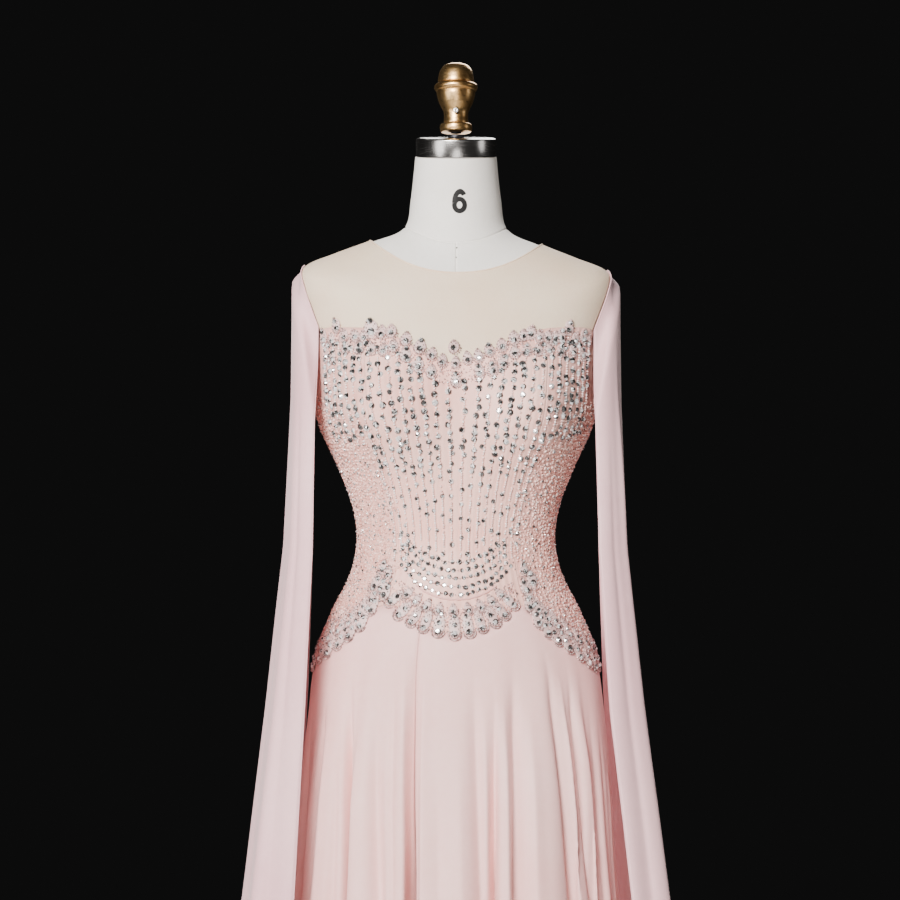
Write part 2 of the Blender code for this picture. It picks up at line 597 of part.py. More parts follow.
def build_neck_metal():
    tilt = Matrix.Translation((0, NECK_Y, NECK_TOP_Z)) @ Matrix.Rotation(CAP_TILT, 4, "X")
    cylinder("neck_cap", CAP_RADIUS, CAP_HEIGHT, tilt @ Matrix.Translation((0, 0, SEAM)), BRUSHED_STEEL,
             segments=40, bevel=0.0012)
    cap_top = SEAM + CAP_HEIGHT
    cylinder("finial_nut", NUT_RADIUS, NUT_HEIGHT, tilt @ Matrix.Translation((0, 0, cap_top + SEAM)),
             STAND_METAL, segments=16)
    nut_top = tilt @ Vector((0, 0, cap_top + SEAM + NUT_HEIGHT))
    knob_foot = FINIAL_PROFILE[-1].height
    rod_foot = nut_top.z + math.tan(CAP_TILT) * ROD_RADIUS + SEAM
    axis = Vector((0, nut_top.y, 0))
    cylinder("finial_rod", ROD_RADIUS, knob_foot - SEAM - rod_foot,
             Matrix.Translation((axis.x, axis.y, rod_foot)), STAND_METAL, segments=16)
    turned("finial", FINIAL_PROFILE, OLD_BRASS, 20, axis)
    screw = Matrix.Translation((0, axis.y - SCREW_SEAT, SCREW_Z)) @ Matrix.Rotation(math.radians(90), 4, "X")
    cylinder("finial_screw", SCREW_RADIUS, 0.0030, screw, BRUSHED_STEEL, segments=12, bevel=0.0006)


def build_stand():
    foot = BODY_RINGS[0].side_z
    cylinder("stand_base", BASE_RADIUS, BASE_HEIGHT, Matrix.Identity(4), STAND_METAL,
             segments=32, bevel=0.003)
    cylinder("stand_pole", POLE_RADIUS, foot - BASE_HEIGHT - 2 * SEAM,
             Matrix.Translation((0, 0, BASE_HEIGHT + SEAM)), STAND_METAL, segments=20)


for old in list(bpy.data.objects):
    bpy.data.objects.remove(old, do_unlink=True)
COLLECTION = bpy.data.collections.new("cape_gown")
bpy.context.scene.collection.children.link(COLLECTION)

build_form()
build_neck_metal()
build_stand()
build_yoke()
build_neckline_edging()
bodice_panel("bodice_front_center", -PRINCESS_ANGLE, PRINCESS_ANGLE)
bodice_panel("bodice_side_front_left", -90, -PRINCESS_ANGLE)
bodice_panel("bodice_side_front_right", PRINCESS_ANGLE, 90)
bodice_panel("bodice_back_right", 90, 180)
bodice_panel("bodice_back_left", 180, 270)
build_trims()
skirt_panel("skirt_front_left", -90, FRONT_SEAM_ANGLE)
skirt_panel("skirt_front_right", FRONT_SEAM_ANGLE, 90)
skirt_panel("skirt_back_right", 90, 180)
skirt_panel("skirt_back_left", 180, 270)
build_sleeve("cape_sleeve_left", -1)
build_sleeve("cape_sleeve_right", 1)
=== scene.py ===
# A blush cape gown on a limbless dress form, dressed over its solids.
# Metres, +Z up, the front faces -Y, +X is the viewer's right.
import math

import bmesh
import bpy
import numpy as np
from mathutils import Matrix, Vector


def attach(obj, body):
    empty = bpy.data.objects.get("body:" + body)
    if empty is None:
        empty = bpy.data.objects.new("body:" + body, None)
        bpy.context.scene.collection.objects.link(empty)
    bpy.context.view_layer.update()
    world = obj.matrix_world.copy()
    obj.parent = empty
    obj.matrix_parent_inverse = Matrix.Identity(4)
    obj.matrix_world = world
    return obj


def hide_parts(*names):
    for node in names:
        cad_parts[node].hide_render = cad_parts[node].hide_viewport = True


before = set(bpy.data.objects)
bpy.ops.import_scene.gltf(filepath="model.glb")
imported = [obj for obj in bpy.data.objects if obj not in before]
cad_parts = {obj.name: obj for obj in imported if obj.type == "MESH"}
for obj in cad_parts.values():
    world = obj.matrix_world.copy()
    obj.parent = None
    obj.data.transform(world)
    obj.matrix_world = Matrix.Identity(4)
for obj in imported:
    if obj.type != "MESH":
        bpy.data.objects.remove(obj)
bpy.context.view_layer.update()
luck = np.random.default_rng(11)
print("frame loaded:", len(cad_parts), "nodes")


# Shape of the gown and the form, the same as the solids'
gown = {
    "easeTorso": 0.0024,
    "easeShoulder": 0.0012,
    "easeFlat": 0.6,
    "easeFade": 2.5,
    "formSlim": 0.0020,
    "bodiceWall": 0.0018,
    "skirtWall": 0.0014,
    "yokeWall": 0.0012,
    "sleeveWall": 0.0012,
    "sleeveLift": 0.0009,
    "sleeveSettle": 0.25,
    "hem": 0.010,
    "foldDepth": 0.026,
    "foldGrowth": 1.15,
    "gownBust": 0.034,
    "formBust": 0.026,
    "bustAngle": 33.0,
    "bustHeight": 1.245,
    "bustWidth": 17.0,
    "bustTall": 0.042,
    "shoulderDrop": 0.006,
    "shoulderReach": 0.15,
    "shoulderStart": 1.25,
    "shoulderFade": 0.17,
    "princess": 34.0,
    "frontSeam": -15.0,
    "armhole": 64.0,
    "armholeRound": 2.2,
    "slopeStep": (0.01, 0.4),  # levels and degrees apart at which a slope is measured
}
# side height, half width, front height, front depth, back height, back depth, squareness
skirtRings = {
    "hem": (0.010, 0.2600, 0.010, 0.2360, 0.010, 0.2680, 2.00),
    "calf": (0.240, 0.2390, 0.240, 0.2030, 0.240, 0.2330, 2.00),
    "knee": (0.460, 0.2140, 0.460, 0.1710, 0.460, 0.1970, 2.05),
    "thigh": (0.660, 0.1920, 0.660, 0.1440, 0.660, 0.1640, 2.05),
    "lowHip": (0.800, 0.1835, 0.800, 0.1260, 0.800, 0.1410, 2.10),
    "skirtHip": (0.880, 0.1765, 0.880, 0.1180, 0.880, 0.1310, 2.10),
}
formFoot = {
    "foot": (0.800, 0.1600, 0.800, 0.1050, 0.800, 0.1180, 2.10),
    "hip": (0.880, 0.1700, 0.880, 0.1120, 0.880, 0.1260, 2.10),
}
bodyRings = {
    "seat": (0.945, 0.1675, 0.945, 0.1090, 0.945, 0.1190, 2.10),
    "highHip": (1.000, 0.1470, 1.000, 0.0990, 1.000, 0.1030, 2.10),
    "belowWaist": (1.045, 0.1245, 1.045, 0.0895, 1.045, 0.0880, 2.10),
    "waist": (1.088, 0.1150, 1.088, 0.0850, 1.088, 0.0810, 2.10),
    "midriff": (1.132, 0.1200, 1.132, 0.0890, 1.132, 0.0850, 2.15),
    "underbust": (1.178, 0.1370, 1.178, 0.0970, 1.178, 0.0940, 2.20),
    "bust": (1.236, 0.1625, 1.240, 0.1080, 1.240, 0.1010, 2.30),
    "armpit": (1.285, 0.1665, 1.290, 0.1080, 1.295, 0.1040, 2.45),
    "chest": (1.335, 0.1710, 1.335, 0.1010, 1.345, 0.1060, 2.50),
    "shoulderEnd": (1.400, 0.1870, 1.366, 0.0940, 1.382, 0.1020, 2.45),
    "shoulderTip": (1.4215, 0.1810, 1.380, 0.0905, 1.399, 0.0970, 2.40),
    "midShoulder": (1.4370, 0.1460, 1.394, 0.0850, 1.421, 0.0870, 2.30),
    "neckline": (1.4530, 0.1030, 1.408, 0.0790, 1.445, 0.0730, 2.20),
    "neckBase": (1.4700, 0.0635, 1.444, 0.0600, 1.477, 0.0570, 2.10),
    "neck": (1.5080, 0.0548, 1.492, 0.0580, 1.515, 0.0470, 2.00),
    "neckTop": (1.5700, 0.0485, 1.570, 0.0565, 1.570, 0.0405, 2.00),
}
gownRings = {**skirtRings, **bodyRings}
formRings = {**formFoot, **bodyRings}
gownTable = np.array(list(gownRings.values()))
formTable = np.array(list(formRings.values()))
gownLevel = {name: index for index, name in enumerate(gownRings)}
formLevel = {name: index for index, name in enumerate(formRings)}
# angle from the centre front, height
bodiceTop = np.array((
    (0, 1.299), (8, 1.309), (15, 1.325), (23, 1.336), (34, 1.342), (54, 1.345), (64, 1.343),
    (77, 1.280), (90, 1.245), (103, 1.270), (116, 1.332), (134, 1.335), (163, 1.322), (180, 1.316)))
bodiceBottom = np.array((
    (0, 0.985), (12, 0.992), (20, 1.003), (27, 1.015), (34, 1.017), (42, 0.994), (54, 0.968), (66, 0.950),
    (78, 0.938), (90, 0.931), (102, 0.938), (124, 0.968), (145, 1.000), (163, 0.990), (180, 0.978)))
# how much higher the basque's lower edge lies on the viewer's left
basqueRise = np.array((
    (0, 0.0), (34, 0.0), (38, 0.010), (43, 0.018), (46, 0.010), (54, 0.0075), (78, 0.009), (90, 0.004),
    (102, 0.0), (180, 0.0)))
# angle, how far the ridge or valley stands
skirtFolds = np.array((
    (-90, -0.50), (-79, 0.60), (-68, -0.40), (-54, 0.70), (-41, -1.00), (-34, 0.55), (-27, -0.20),
    (-21, 0.50), (-15, -0.90), (-5, 0.60), (8, -0.20), (15, 0.35), (23, -0.45), (34, 0.80), (48, -1.00),
    (53, 0.35), (58, -0.80), (68, 0.60), (79, -0.50), (90, 0.55), (101, -0.70), (112, 0.65), (123, -0.80),
    (134, 0.70), (144, -0.60), (154, 0.80), (163, -0.70), (171, 0.50), (180, -0.60), (190, 0.75),
    (200, -0.80), (210, 0.60), (220, -0.70), (230, 0.80), (239, -0.60), (248, 0.65), (270, -0.50)))
# height, outer half width, inner edge at front left, front right and back, front depth, back depth
sleeveSections = np.array((
    (0.060, 0.3250, 0.2600, 0.2740, 0.2800, 0.1550, 0.1700),
    (0.350, 0.2910, 0.2220, 0.2400, 0.2440, 0.1420, 0.1550),
    (0.653, 0.2550, 0.1880, 0.2050, 0.2080, 0.1280, 0.1380),
    (0.773, 0.2410, 0.1820, 0.1920, 0.1980, 0.1200, 0.1280),
    (0.895, 0.2260, 0.1755, 0.1780, 0.1905, 0.1120, 0.1180),
    (1.084, 0.2055, 0.1675, 0.1665, 0.1830, 0.0980, 0.1000),
    (1.260, 0.1990, 0.1660, 0.1630, 0.1800, 0.0800, 0.0800),
    (1.350, 0.1985, 0.1660, 0.1640, 0.1750, 0.0600, 0.0620),
    (1.430, 0.1985, 0.1720, 0.1720, 0.1750, 0.0450, 0.0500)))
sleeveFolds = np.array((
    (0.00, 0.10), (0.10, -0.50), (0.22, 0.90), (0.34, -0.40), (0.50, 0.60), (0.62, -0.70), (0.74, 0.50),
    (0.86, -0.60), (1.00, 0.20)))


def smooth(value):
    share = np.clip(value, 0.0, 1.0)
    return share * share * (3 - 2 * share)


def unit(vectors):
    return vectors / np.linalg.norm(vectors, axis=-1, keepdims=True)


def folded180(angle):
    return np.abs((angle + 180) % 360 - 180)


def standAt(folds, place):
    # soft waves through the ridges and valleys of a fold table
    index = np.clip(np.searchsorted(folds[:, 0], place) - 1, 0, len(folds) - 2)
    left, right = folds[index], folds[index + 1]
    share = smooth((place - left[..., 0]) / (right[..., 0] - left[..., 0]))
    return left[..., 1] + (right[..., 1] - left[..., 1]) * share


def edgeHeight(table, angle):
    # the same on both sides but for the basque's rise, with its corners eased over a few degrees
    spread = np.array((-2.0, -1.0, 0.0, 1.0, 2.0))
    turned = np.asarray(angle, float)[..., None] + spread
    height = np.interp(folded180(turned), table[:, 0], table[:, 1])
    if table is bodiceBottom:
        onLeft = (turned + 180) % 360 < 180
        rise = np.interp(folded180(turned), basqueRise[:, 0], basqueRise[:, 1])
        height = height + np.where(onLeft, rise, 0)
    return height.mean(axis=-1)


def skinAt(table, level, angle, bust):
    # a point of the body, on a smooth line through the rings of a table
    level, angle = np.broadcast_arrays(np.asarray(level, float), np.asarray(angle, float))
    index = np.clip(np.floor(level).astype(int), 0, len(table) - 2)
    share = (level - index)[..., None]
    before, start = table[np.maximum(index - 1, 0)], table[index]
    end, after = table[index + 1], table[np.minimum(index + 2, len(table) - 1)]
    bend = 2 * before - 5 * start + 4 * end - after
    turn = 3 * (start - end) + after - before
    row = start + 0.5 * share * (end - before + share * (bend + share * turn))
    sideZ, halfWidth, frontZ, frontDepth, backZ, backDepth, square = np.moveaxis(row, -1, 0)
    forward, sideways = np.cos(np.radians(angle)), np.sin(np.radians(angle))
    inFront = forward >= 0
    depth = np.where(inFront, frontDepth, backDepth)
    x = halfWidth * np.sign(sideways) * np.abs(sideways) ** (2 / square)
    y = -depth * np.sign(forward) * np.abs(forward) ** (2 / square)
    z = sideZ + (np.where(inFront, frontZ, backZ) - sideZ) * forward ** 2
    offBust = (folded180(angle) - gown["bustAngle"]) / gown["bustWidth"]
    y = y - bust * np.exp(-offBust ** 2 / 2 - ((z - gown["bustHeight"]) / gown["bustTall"]) ** 2 / 2)
    drop = gown["shoulderDrop"] * smooth(x / gown["shoulderReach"])
    drop = drop * smooth((z - gown["shoulderStart"]) / gown["shoulderFade"])
    return np.stack((x, y, z - np.where(x > 0, drop, 0)), -1)


def foldedAt(level, angle):
    # the body's point, pushed out or in by the skirt's large folds
    point = skinAt(gownTable, level, angle, gown["gownBust"])
    top = edgeHeight(bodiceBottom, angle)
    fall = np.clip((top - point[..., 2]) / (top - gown["hem"]), 0, 1)
    wrapped = (np.asarray(angle, float) + 90) % 360 - 90
    reach = gown["foldDepth"] * fall ** gown["foldGrowth"] * standAt(skirtFolds, wrapped)
    flat = point * np.array((1, 1, 0))
    return point + unit(flat) * reach[..., None]


def normalAt(surface, u, v, step):
    stepU, stepV = step
    across = surface(u, v + stepV) - surface(u, v - stepV)
    up = surface(u + stepU, v) - surface(u - stepU, v)
    return unit(np.cross(across, up))


def gownAt(level, angle, out):
    # a point of the gown, standing out from the inside of its cloth
    away = normalAt(foldedAt, level, angle, gown["slopeStep"])
    offShoulder = np.abs(level - gownLevel["midShoulder"] - 0.5)
    beyond = smooth((offShoulder - gown["easeFlat"]) / gown["easeFade"])
    extra = (gown["easeTorso"] - gown["easeShoulder"]) * beyond
    return foldedAt(level, angle) + away * (gown["easeShoulder"] + extra + out)[..., None]


def levelAt(angle, height):
    # the level of a table at which the gown reaches a height, by halving
    angle, height = np.broadcast_arrays(np.asarray(angle, float), np.asarray(height, float))
    low = np.zeros(angle.shape)
    high = np.full(angle.shape, float(gownLevel["neckline"]))
    for _ in range(26):
        middle = (low + high) / 2
        under = skinAt(gownTable, middle, angle, gown["gownBust"])[..., 2] < height
        low, high = np.where(under, middle, low), np.where(under, high, middle)
    return (low + high) / 2


# Node helpers and the shared effects
def addNode(tree, kind, at, settings=None, values=None):
    made = tree.nodes.new(kind)
    made.location = at
    for key, value in (settings or {}).items():
        setattr(made, key, value)
    for key, value in (values or {}).items():
        made.inputs[key].default_value = value
    return made


def link(tree, start, output, end, target):
    tree.links.new(start.outputs[output], end.inputs[target])


def newGroup(name, inputs, outputs):
    tree = bpy.data.node_groups.new(name, "ShaderNodeTree")
    for side, sockets in (("INPUT", inputs), ("OUTPUT", outputs)):
        for label, kind in sockets:
            tree.interface.new_socket(name=label, in_out=side, socket_type="NodeSocket" + kind)
    return tree, addNode(tree, "NodeGroupInput", (-900, 0)), addNode(tree, "NodeGroupOutput", (700, 0))


def math2(tree, operation, at, first, second):
    made = addNode(tree, "ShaderNodeMath", at, {"operation": operation})
    for index, value in enumerate((first, second)):
        if isinstance(value, tuple):
            tree.links.new(value[0].outputs[value[1]], made.inputs[index])
        elif value is not None:
            made.inputs[index].default_value = value
    return made


def makeWeave():
    # crossed threads on metric UVs: a height, and a mask of the gaps
    tree, start, end = newGroup("crossedThreads", (("Vector", "Vector"), ("Threads Per Metre", "Float")),
                                (("Height", "Float"), ("Gap", "Float")))
    scaled = addNode(tree, "ShaderNodeVectorMath", (-700, 0), {"operation": "SCALE"})
    link(tree, start, "Vector", scaled, 0)
    link(tree, start, "Threads Per Metre", scaled, "Scale")
    wobble = addNode(tree, "ShaderNodeTexNoise", (-700, -250), None, {"Scale": 0.35, "Detail": 1.0})
    link(tree, scaled, 0, wobble, "Vector")
    apart = addNode(tree, "ShaderNodeSeparateXYZ", (-500, 0))
    link(tree, scaled, 0, apart, 0)
    waves = []
    for row, axis in enumerate(("X", "Y")):
        shifted = math2(tree, "ADD", (-300, -160 * row), (apart, axis), (wobble, 0))
        turned = math2(tree, "MULTIPLY", (-150, -160 * row), (shifted, 0), math.tau)
        waves.append(math2(tree, "SINE", (0, -160 * row), (turned, 0), None))
    top = math2(tree, "MAXIMUM", (200, 0), (waves[0], 0), (waves[1], 0))
    product = math2(tree, "MINIMUM", (200, -160), (waves[0], 0), (waves[1], 0))
    gap = math2(tree, "LESS_THAN", (400, -160), (top, 0), -0.25)
    height = math2(tree, "ADD", (400, 0), (top, 0), (product, 0))
    link(tree, height, 0, end, "Height")
    link(tree, gap, 0, end, "Gap")
    return tree


def makeBlotch():
    # slow and fine variation between two tones
    tree, start, end = newGroup(
        "softVariation",
        (("Vector", "Vector"), ("Scale", "Float"), ("Light Tone", "Color"), ("Deep Tone", "Color")),
        (("Color", "Color"), ("Mask", "Float")))
    broad = addNode(tree, "ShaderNodeTexNoise", (-600, 100), None, {"Detail": 3.0, "Roughness": 0.55})
    link(tree, start, "Vector", broad, "Vector")
    link(tree, start, "Scale", broad, "Scale")
    fineScale = math2(tree, "MULTIPLY", (-750, -200), (start, "Scale"), 24.0)
    fine = addNode(tree, "ShaderNodeTexNoise", (-600, -200), None, {"Detail": 2.0, "Roughness": 0.6})
    link(tree, start, "Vector", fine, "Vector")
    link(tree, fineScale, 0, fine, "Scale")
    most = math2(tree, "MULTIPLY", (-400, 100), (broad, 0), 0.75)
    little = math2(tree, "MULTIPLY", (-400, -100), (fine, 0), 0.25)
    both = math2(tree, "ADD", (-200, 0), (most, 0), (little, 0))
    ramp = addNode(tree, "ShaderNodeMapRange", (0, 0), None, {"From Min": 0.38, "From Max": 0.62})
    link(tree, both, 0, ramp, "Value")
    mix = addNode(tree, "ShaderNodeMix", (250, 0), {"data_type": "RGBA"})
    link(tree, ramp, 0, mix, 0)
    link(tree, start, "Light Tone", mix, 6)
    link(tree, start, "Deep Tone", mix, 7)
    link(tree, mix, 2, end, "Color")
    link(tree, ramp, 0, end, "Mask")
    return tree


weaveGroup = makeWeave()
blotchGroup = makeBlotch()


def newMaterial(name, settings):
    # constants go straight onto the shader's sockets
    made = bpy.data.materials.new(name)
    made.use_nodes = True
    shader = made.node_tree.nodes["Principled BSDF"]
    for key, value in settings.items():
        shader.inputs[key].default_value = value
    return made, made.node_tree, shader


def useGroup(tree, group, at, values):
    made = addNode(tree, "ShaderNodeGroup", at, {"node_tree": group})
    for key, value in values.items():
        made.inputs[key].default_value = value
    return made


def tone(red, green, blue):
    # a colour given as it looks on a screen, 0 to 255
    share = np.array((red, green, blue)) / 255
    linear = np.where(share <= 0.04045, share / 12.92, ((share + 0.055) / 1.055) ** 2.4)
    return (*linear.tolist(), 1.0)


def clothMaterial(name, look):
    made, tree, shader = newMaterial(name, look["shader"])
    uv = addNode(tree, "ShaderNodeUVMap", (-1300, -200), {"uv_map": "UVMap"})
    place = addNode(tree, "ShaderNodeTexCoord", (-1300, 200))
    blotch = useGroup(tree, blotchGroup, (-900, 200),
                      {"Scale": look["blotch"], "Light Tone": look["light"], "Deep Tone": look["deep"]})
    link(tree, place, "Object", blotch, "Vector")
    weave = useGroup(tree, weaveGroup, (-900, -200), {"Threads Per Metre": look["threads"]})
    link(tree, uv, 0, weave, "Vector")
    # painted shade: the gaps between the threads are darkened by the look's gap tone, as far as gapShade says
    shade = addNode(tree, "ShaderNodeMix", (-500, 200), {"data_type": "RGBA", "blend_type": "MULTIPLY"})
    shade.inputs[7].default_value = look["gapShadeTone"]
    gapShare = math2(tree, "MULTIPLY", (-700, 0), (weave, "Gap"), look["gapShade"])
    link(tree, gapShare, 0, shade, 0)
    link(tree, blotch, "Color", shade, 6)
    link(tree, shade, 2, shader, "Base Color")
    rough = addNode(tree, "ShaderNodeMapRange", (-500, 0), None,
                    {"To Min": look["rough"][0], "To Max": look["rough"][1]})
    link(tree, blotch, "Mask", rough, "Value")
    link(tree, rough, 0, shader, "Roughness")
    bump = addNode(tree, "ShaderNodeBump", (-300, -300), None,
                   {"Strength": look["bump"], "Distance": look["threadHigh"]})
    link(tree, weave, "Height", bump, "Height")
    link(tree, bump, 0, shader, "Normal")
    if "sheer" in look:
        clear = addNode(tree, "ShaderNodeMapRange", (-500, -500), None,
                        {"To Min": look["sheer"][0], "To Max": look["sheer"][1]})
        link(tree, weave, "Gap", clear, "Value")
        link(tree, clear, 0, shader, "Alpha")
    return made


# each look's gap tone and gapShade paint shade into the gaps between the threads
clothLooks = {
    "skirt": {
        "light": tone(250, 206, 202), "deep": tone(244, 194, 189), "blotch": 5.0, "threads": 1500.0,
        "gapShadeTone": tone(222, 182, 173), "gapShade": 0.35, "rough": (0.42, 0.54), "bump": 0.10,
        "threadHigh": 0.0002,
        "shader": {"Sheen Weight": 0.25, "Sheen Roughness": 0.45, "Specular IOR Level": 0.35},
    },
    "sleeve": {
        "light": tone(239, 195, 199), "deep": tone(231, 183, 189), "blotch": 6.0, "threads": 1700.0,
        "gapShadeTone": tone(216, 178, 180), "gapShade": 0.35, "rough": (0.48, 0.60), "bump": 0.12,
        "threadHigh": 0.0002,
        "shader": {"Sheen Weight": 0.30, "Sheen Roughness": 0.50, "Specular IOR Level": 0.30},
    },
    "yoke": {
        "light": tone(248, 228, 203), "deep": tone(243, 218, 190), "blotch": 9.0, "threads": 900.0,
        "gapShadeTone": tone(216, 186, 156), "gapShade": 0.5, "rough": (0.60, 0.72), "bump": 0.20,
        "threadHigh": 0.0002, "sheer": (0.93, 0.70),
        "shader": {"Sheen Weight": 0.10, "Specular IOR Level": 0.25},
    },
    "bodice": {
        "light": tone(252, 203, 189), "deep": tone(246, 187, 173), "blotch": 14.0, "threads": 1300.0,
        "gapShadeTone": tone(222, 192, 185), "gapShade": 0.4, "rough": (0.45, 0.58), "bump": 0.15,
        "threadHigh": 0.0002,
        "shader": {"Sheen Weight": 0.20, "Specular IOR Level": 0.35},
    },
    "side": {
        "light": tone(246, 198, 186), "deep": tone(238, 180, 167), "blotch": 60.0, "threads": 1100.0,
        "gapShadeTone": tone(218, 176, 168), "gapShade": 0.5, "rough": (0.40, 0.60), "bump": 0.30,
        "threadHigh": 0.0003,
        "shader": {"Sheen Weight": 0.15, "Specular IOR Level": 0.40},
    },
    "form": {
        "light": tone(246, 243, 238), "deep": tone(238, 233, 226), "blotch": 8.0, "threads": 1600.0,
        "gapShadeTone": tone(222, 216, 208), "gapShade": 0.3, "rough": (0.70, 0.80), "bump": 0.15,
        "threadHigh": 0.0002,
        "shader": {"Sheen Weight": 0.10, "Specular IOR Level": 0.25},
    },
}
cloth = {name: clothMaterial(name + "Cloth", look) for name, look in clothLooks.items()}


def plainMaterial(name, light, deep, blotchScale, rough, settings, bumpScale=0.0):
    made, tree, shader = newMaterial(name, settings)
    place = addNode(tree, "ShaderNodeTexCoord", (-1000, 0))
    blotch = useGroup(tree, blotchGroup, (-700, 0),
                      {"Scale": blotchScale, "Light Tone": light, "Deep Tone": deep})
    link(tree, place, "Object", blotch, "Vector")
    link(tree, blotch, "Color", shader, "Base Color")
    roughness = addNode(tree, "ShaderNodeMapRange", (-400, -100), None,
                        {"To Min": rough[0], "To Max": rough[1]})
    link(tree, blotch, "Mask", roughness, "Value")
    link(tree, roughness, 0, shader, "Roughness")
    if bumpScale:
        grain = addNode(tree, "ShaderNodeTexNoise", (-700, -300), None, {"Scale": bumpScale, "Detail": 1.0})
        link(tree, place, "Object", grain, "Vector")
        bump = addNode(tree, "ShaderNodeBump", (-400, -300), None, {"Strength": 0.3, "Distance": 0.0002})
        link(tree, grain, 0, bump, "Height")
        link(tree, bump, 0, shader, "Normal")
    return made


def toneMaterial(name, dark, light, settings, bumpScale=0.0):
    # a material whose lightness follows the "tone" attribute of each facet or bead: on the cut stones that
    # tone is painted reflections and glints, on the beads it differs at random
    made, tree, shader = newMaterial(name, settings)
    mark = addNode(tree, "ShaderNodeAttribute", (-800, 100), {"attribute_name": "tone"})
    mix = addNode(tree, "ShaderNodeMix", (-400, 100), {"data_type": "RGBA"},
                  {6: dark, 7: light})
    link(tree, mark, "Fac", mix, 0)
    link(tree, mix, 2, shader, "Base Color")
    if bumpScale:
        place = addNode(tree, "ShaderNodeTexCoord", (-1000, -200))
        grain = addNode(tree, "ShaderNodeTexVoronoi", (-800, -200), None, {"Scale": bumpScale})
        link(tree, place, "Object", grain, "Vector")
        bump = addNode(tree, "ShaderNodeBump", (-400, -200), None, {"Strength": 0.4, "Distance": 0.0004})
        link(tree, grain, "Distance", bump, "Height")
        link(tree, bump, 0, shader, "Normal")
    return made


# cut stones: their facets are painted near black and near white, painted reflections and glints standing in
# for what the glass would mirror
crystalPaintedGlintLook = toneMaterial("cutCrystalPaintedGlints", tone(8, 7, 8), tone(255, 255, 255),
                           {"Metallic": 0.35, "Roughness": 0.10, "Specular IOR Level": 0.8})
seedLook = toneMaterial("silverSeeds", tone(112, 86, 84), tone(236, 202, 198),
                        {"Metallic": 0.25, "Roughness": 0.22})
crustLook = toneMaterial("pinkSeeds", tone(198, 138, 134), tone(252, 222, 216),
                         {"Metallic": 0.20, "Roughness": 0.22})
ribLook = toneMaterial("ribSeeds", tone(232, 190, 182), tone(255, 240, 236),
                       {"Metallic": 0.10, "Roughness": 0.28})
pebbleLook = toneMaterial("blushPebbles", tone(226, 168, 156), tone(253, 218, 206),
                          {"Metallic": 0.05, "Roughness": 0.28, "Coat Weight": 0.3})
padLook = toneMaterial("appliqueBacking", tone(208, 172, 168), tone(228, 198, 194),
                       {"Roughness": 0.5, "Sheen Weight": 0.2}, bumpScale=900.0)
cordLook = plainMaterial("pinkCord", tone(240, 184, 178), tone(230, 166, 160), 60.0, (0.40, 0.50),
                         {"Sheen Weight": 0.2}, bumpScale=1400.0)
sleeveEdgeLook = plainMaterial("sleeveHem", tone(236, 190, 194), tone(228, 178, 184), 40.0, (0.50, 0.60),
                               {"Sheen Weight": 0.3}, bumpScale=1200.0)
skirtEdgeLook = plainMaterial("skirtHem", tone(246, 200, 195), tone(239, 188, 182), 40.0, (0.45, 0.55),
                              {"Sheen Weight": 0.25}, bumpScale=1200.0)
neckEdgeLook = plainMaterial("neckBinding", tone(244, 220, 194), tone(236, 206, 178), 50.0, (0.60, 0.70),
                             {"Sheen Weight": 0.1}, bumpScale=1200.0)
inkLook = plainMaterial("printedInk", tone(24, 22, 22), tone(14, 13, 13), 60.0, (0.5, 0.7),
                        {"Specular IOR Level": 0.3})
floorLook = plainMaterial("paleFloor", tone(226, 224, 221), tone(220, 218, 215), 1.5, (0.55, 0.70),
                          {"Specular IOR Level": 0.2})


def metalMaterial(name, look):
    made, tree, shader = newMaterial(name, look["shader"])
    place = addNode(tree, "ShaderNodeTexCoord", (-1300, 0))
    stretch = addNode(tree, "ShaderNodeMapping", (-1100, 0), None, {"Scale": look["stretch"]})
    link(tree, place, "Object", stretch, "Vector")
    blotch = useGroup(tree, blotchGroup, (-800, 100),
                      {"Scale": look["blotch"], "Light Tone": look["light"], "Deep Tone": look["deep"]})
    link(tree, place, "Object", blotch, "Vector")
    link(tree, blotch, "Color", shader, "Base Color")
    lines = addNode(tree, "ShaderNodeTexNoise", (-800, -200), None, {"Scale": look["lines"], "Detail": 3.0})
    link(tree, stretch, 0, lines, "Vector")
    rough = addNode(tree, "ShaderNodeMapRange", (-500, -100), None,
                    {"From Min": 0.3, "From Max": 0.7, "To Min": look["rough"][0],
                     "To Max": look["rough"][1]})
    link(tree, lines, 0, rough, "Value")
    link(tree, rough, 0, shader, "Roughness")
    bump = addNode(tree, "ShaderNodeBump", (-300, -300), None,
                   {"Strength": look["bump"], "Distance": 0.0002})
    link(tree, lines, 0, bump, "Height")
    link(tree, bump, 0, shader, "Normal")
    return made


metalLooks = {
    "steel": {"light": tone(186, 184, 182), "deep": tone(168, 166, 164), "blotch": 30.0, "lines": 40.0,
              "stretch": (1.0, 1.0, 60.0), "rough": (0.16, 0.28), "bump": 0.06,
              "shader": {"Metallic": 1.0, "Anisotropic": 0.4}},
    "brass": {"light": tone(238, 198, 138), "deep": tone(204, 158, 100), "blotch": 40.0, "lines": 260.0,
              "stretch": (1.0, 1.0, 6.0), "rough": (0.26, 0.40), "bump": 0.05,
              "shader": {"Metallic": 1.0}},
    "stand": {"light": tone(88, 88, 92), "deep": tone(66, 66, 70), "blotch": 20.0, "lines": 160.0,
              "stretch": (1.0, 1.0, 1.0), "rough": (0.38, 0.52), "bump": 0.15,
              "shader": {"Metallic": 1.0}},
}
metal = {name: metalMaterial(name + "Metal", look) for name, look in metalLooks.items()}
print("materials made")


# Mesh helpers
pieces = bpy.data.collections.new("dressedGown")
bpy.context.scene.collection.children.link(pieces)


def addPiece(name, mesh, finish, replaced=()):
    made = bpy.data.objects.new(name, mesh)
    pieces.objects.link(made)
    mesh.materials.clear()
    mesh.materials.append(finish)
    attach(made, "root")
    if replaced:
        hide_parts(*replaced)
    return made


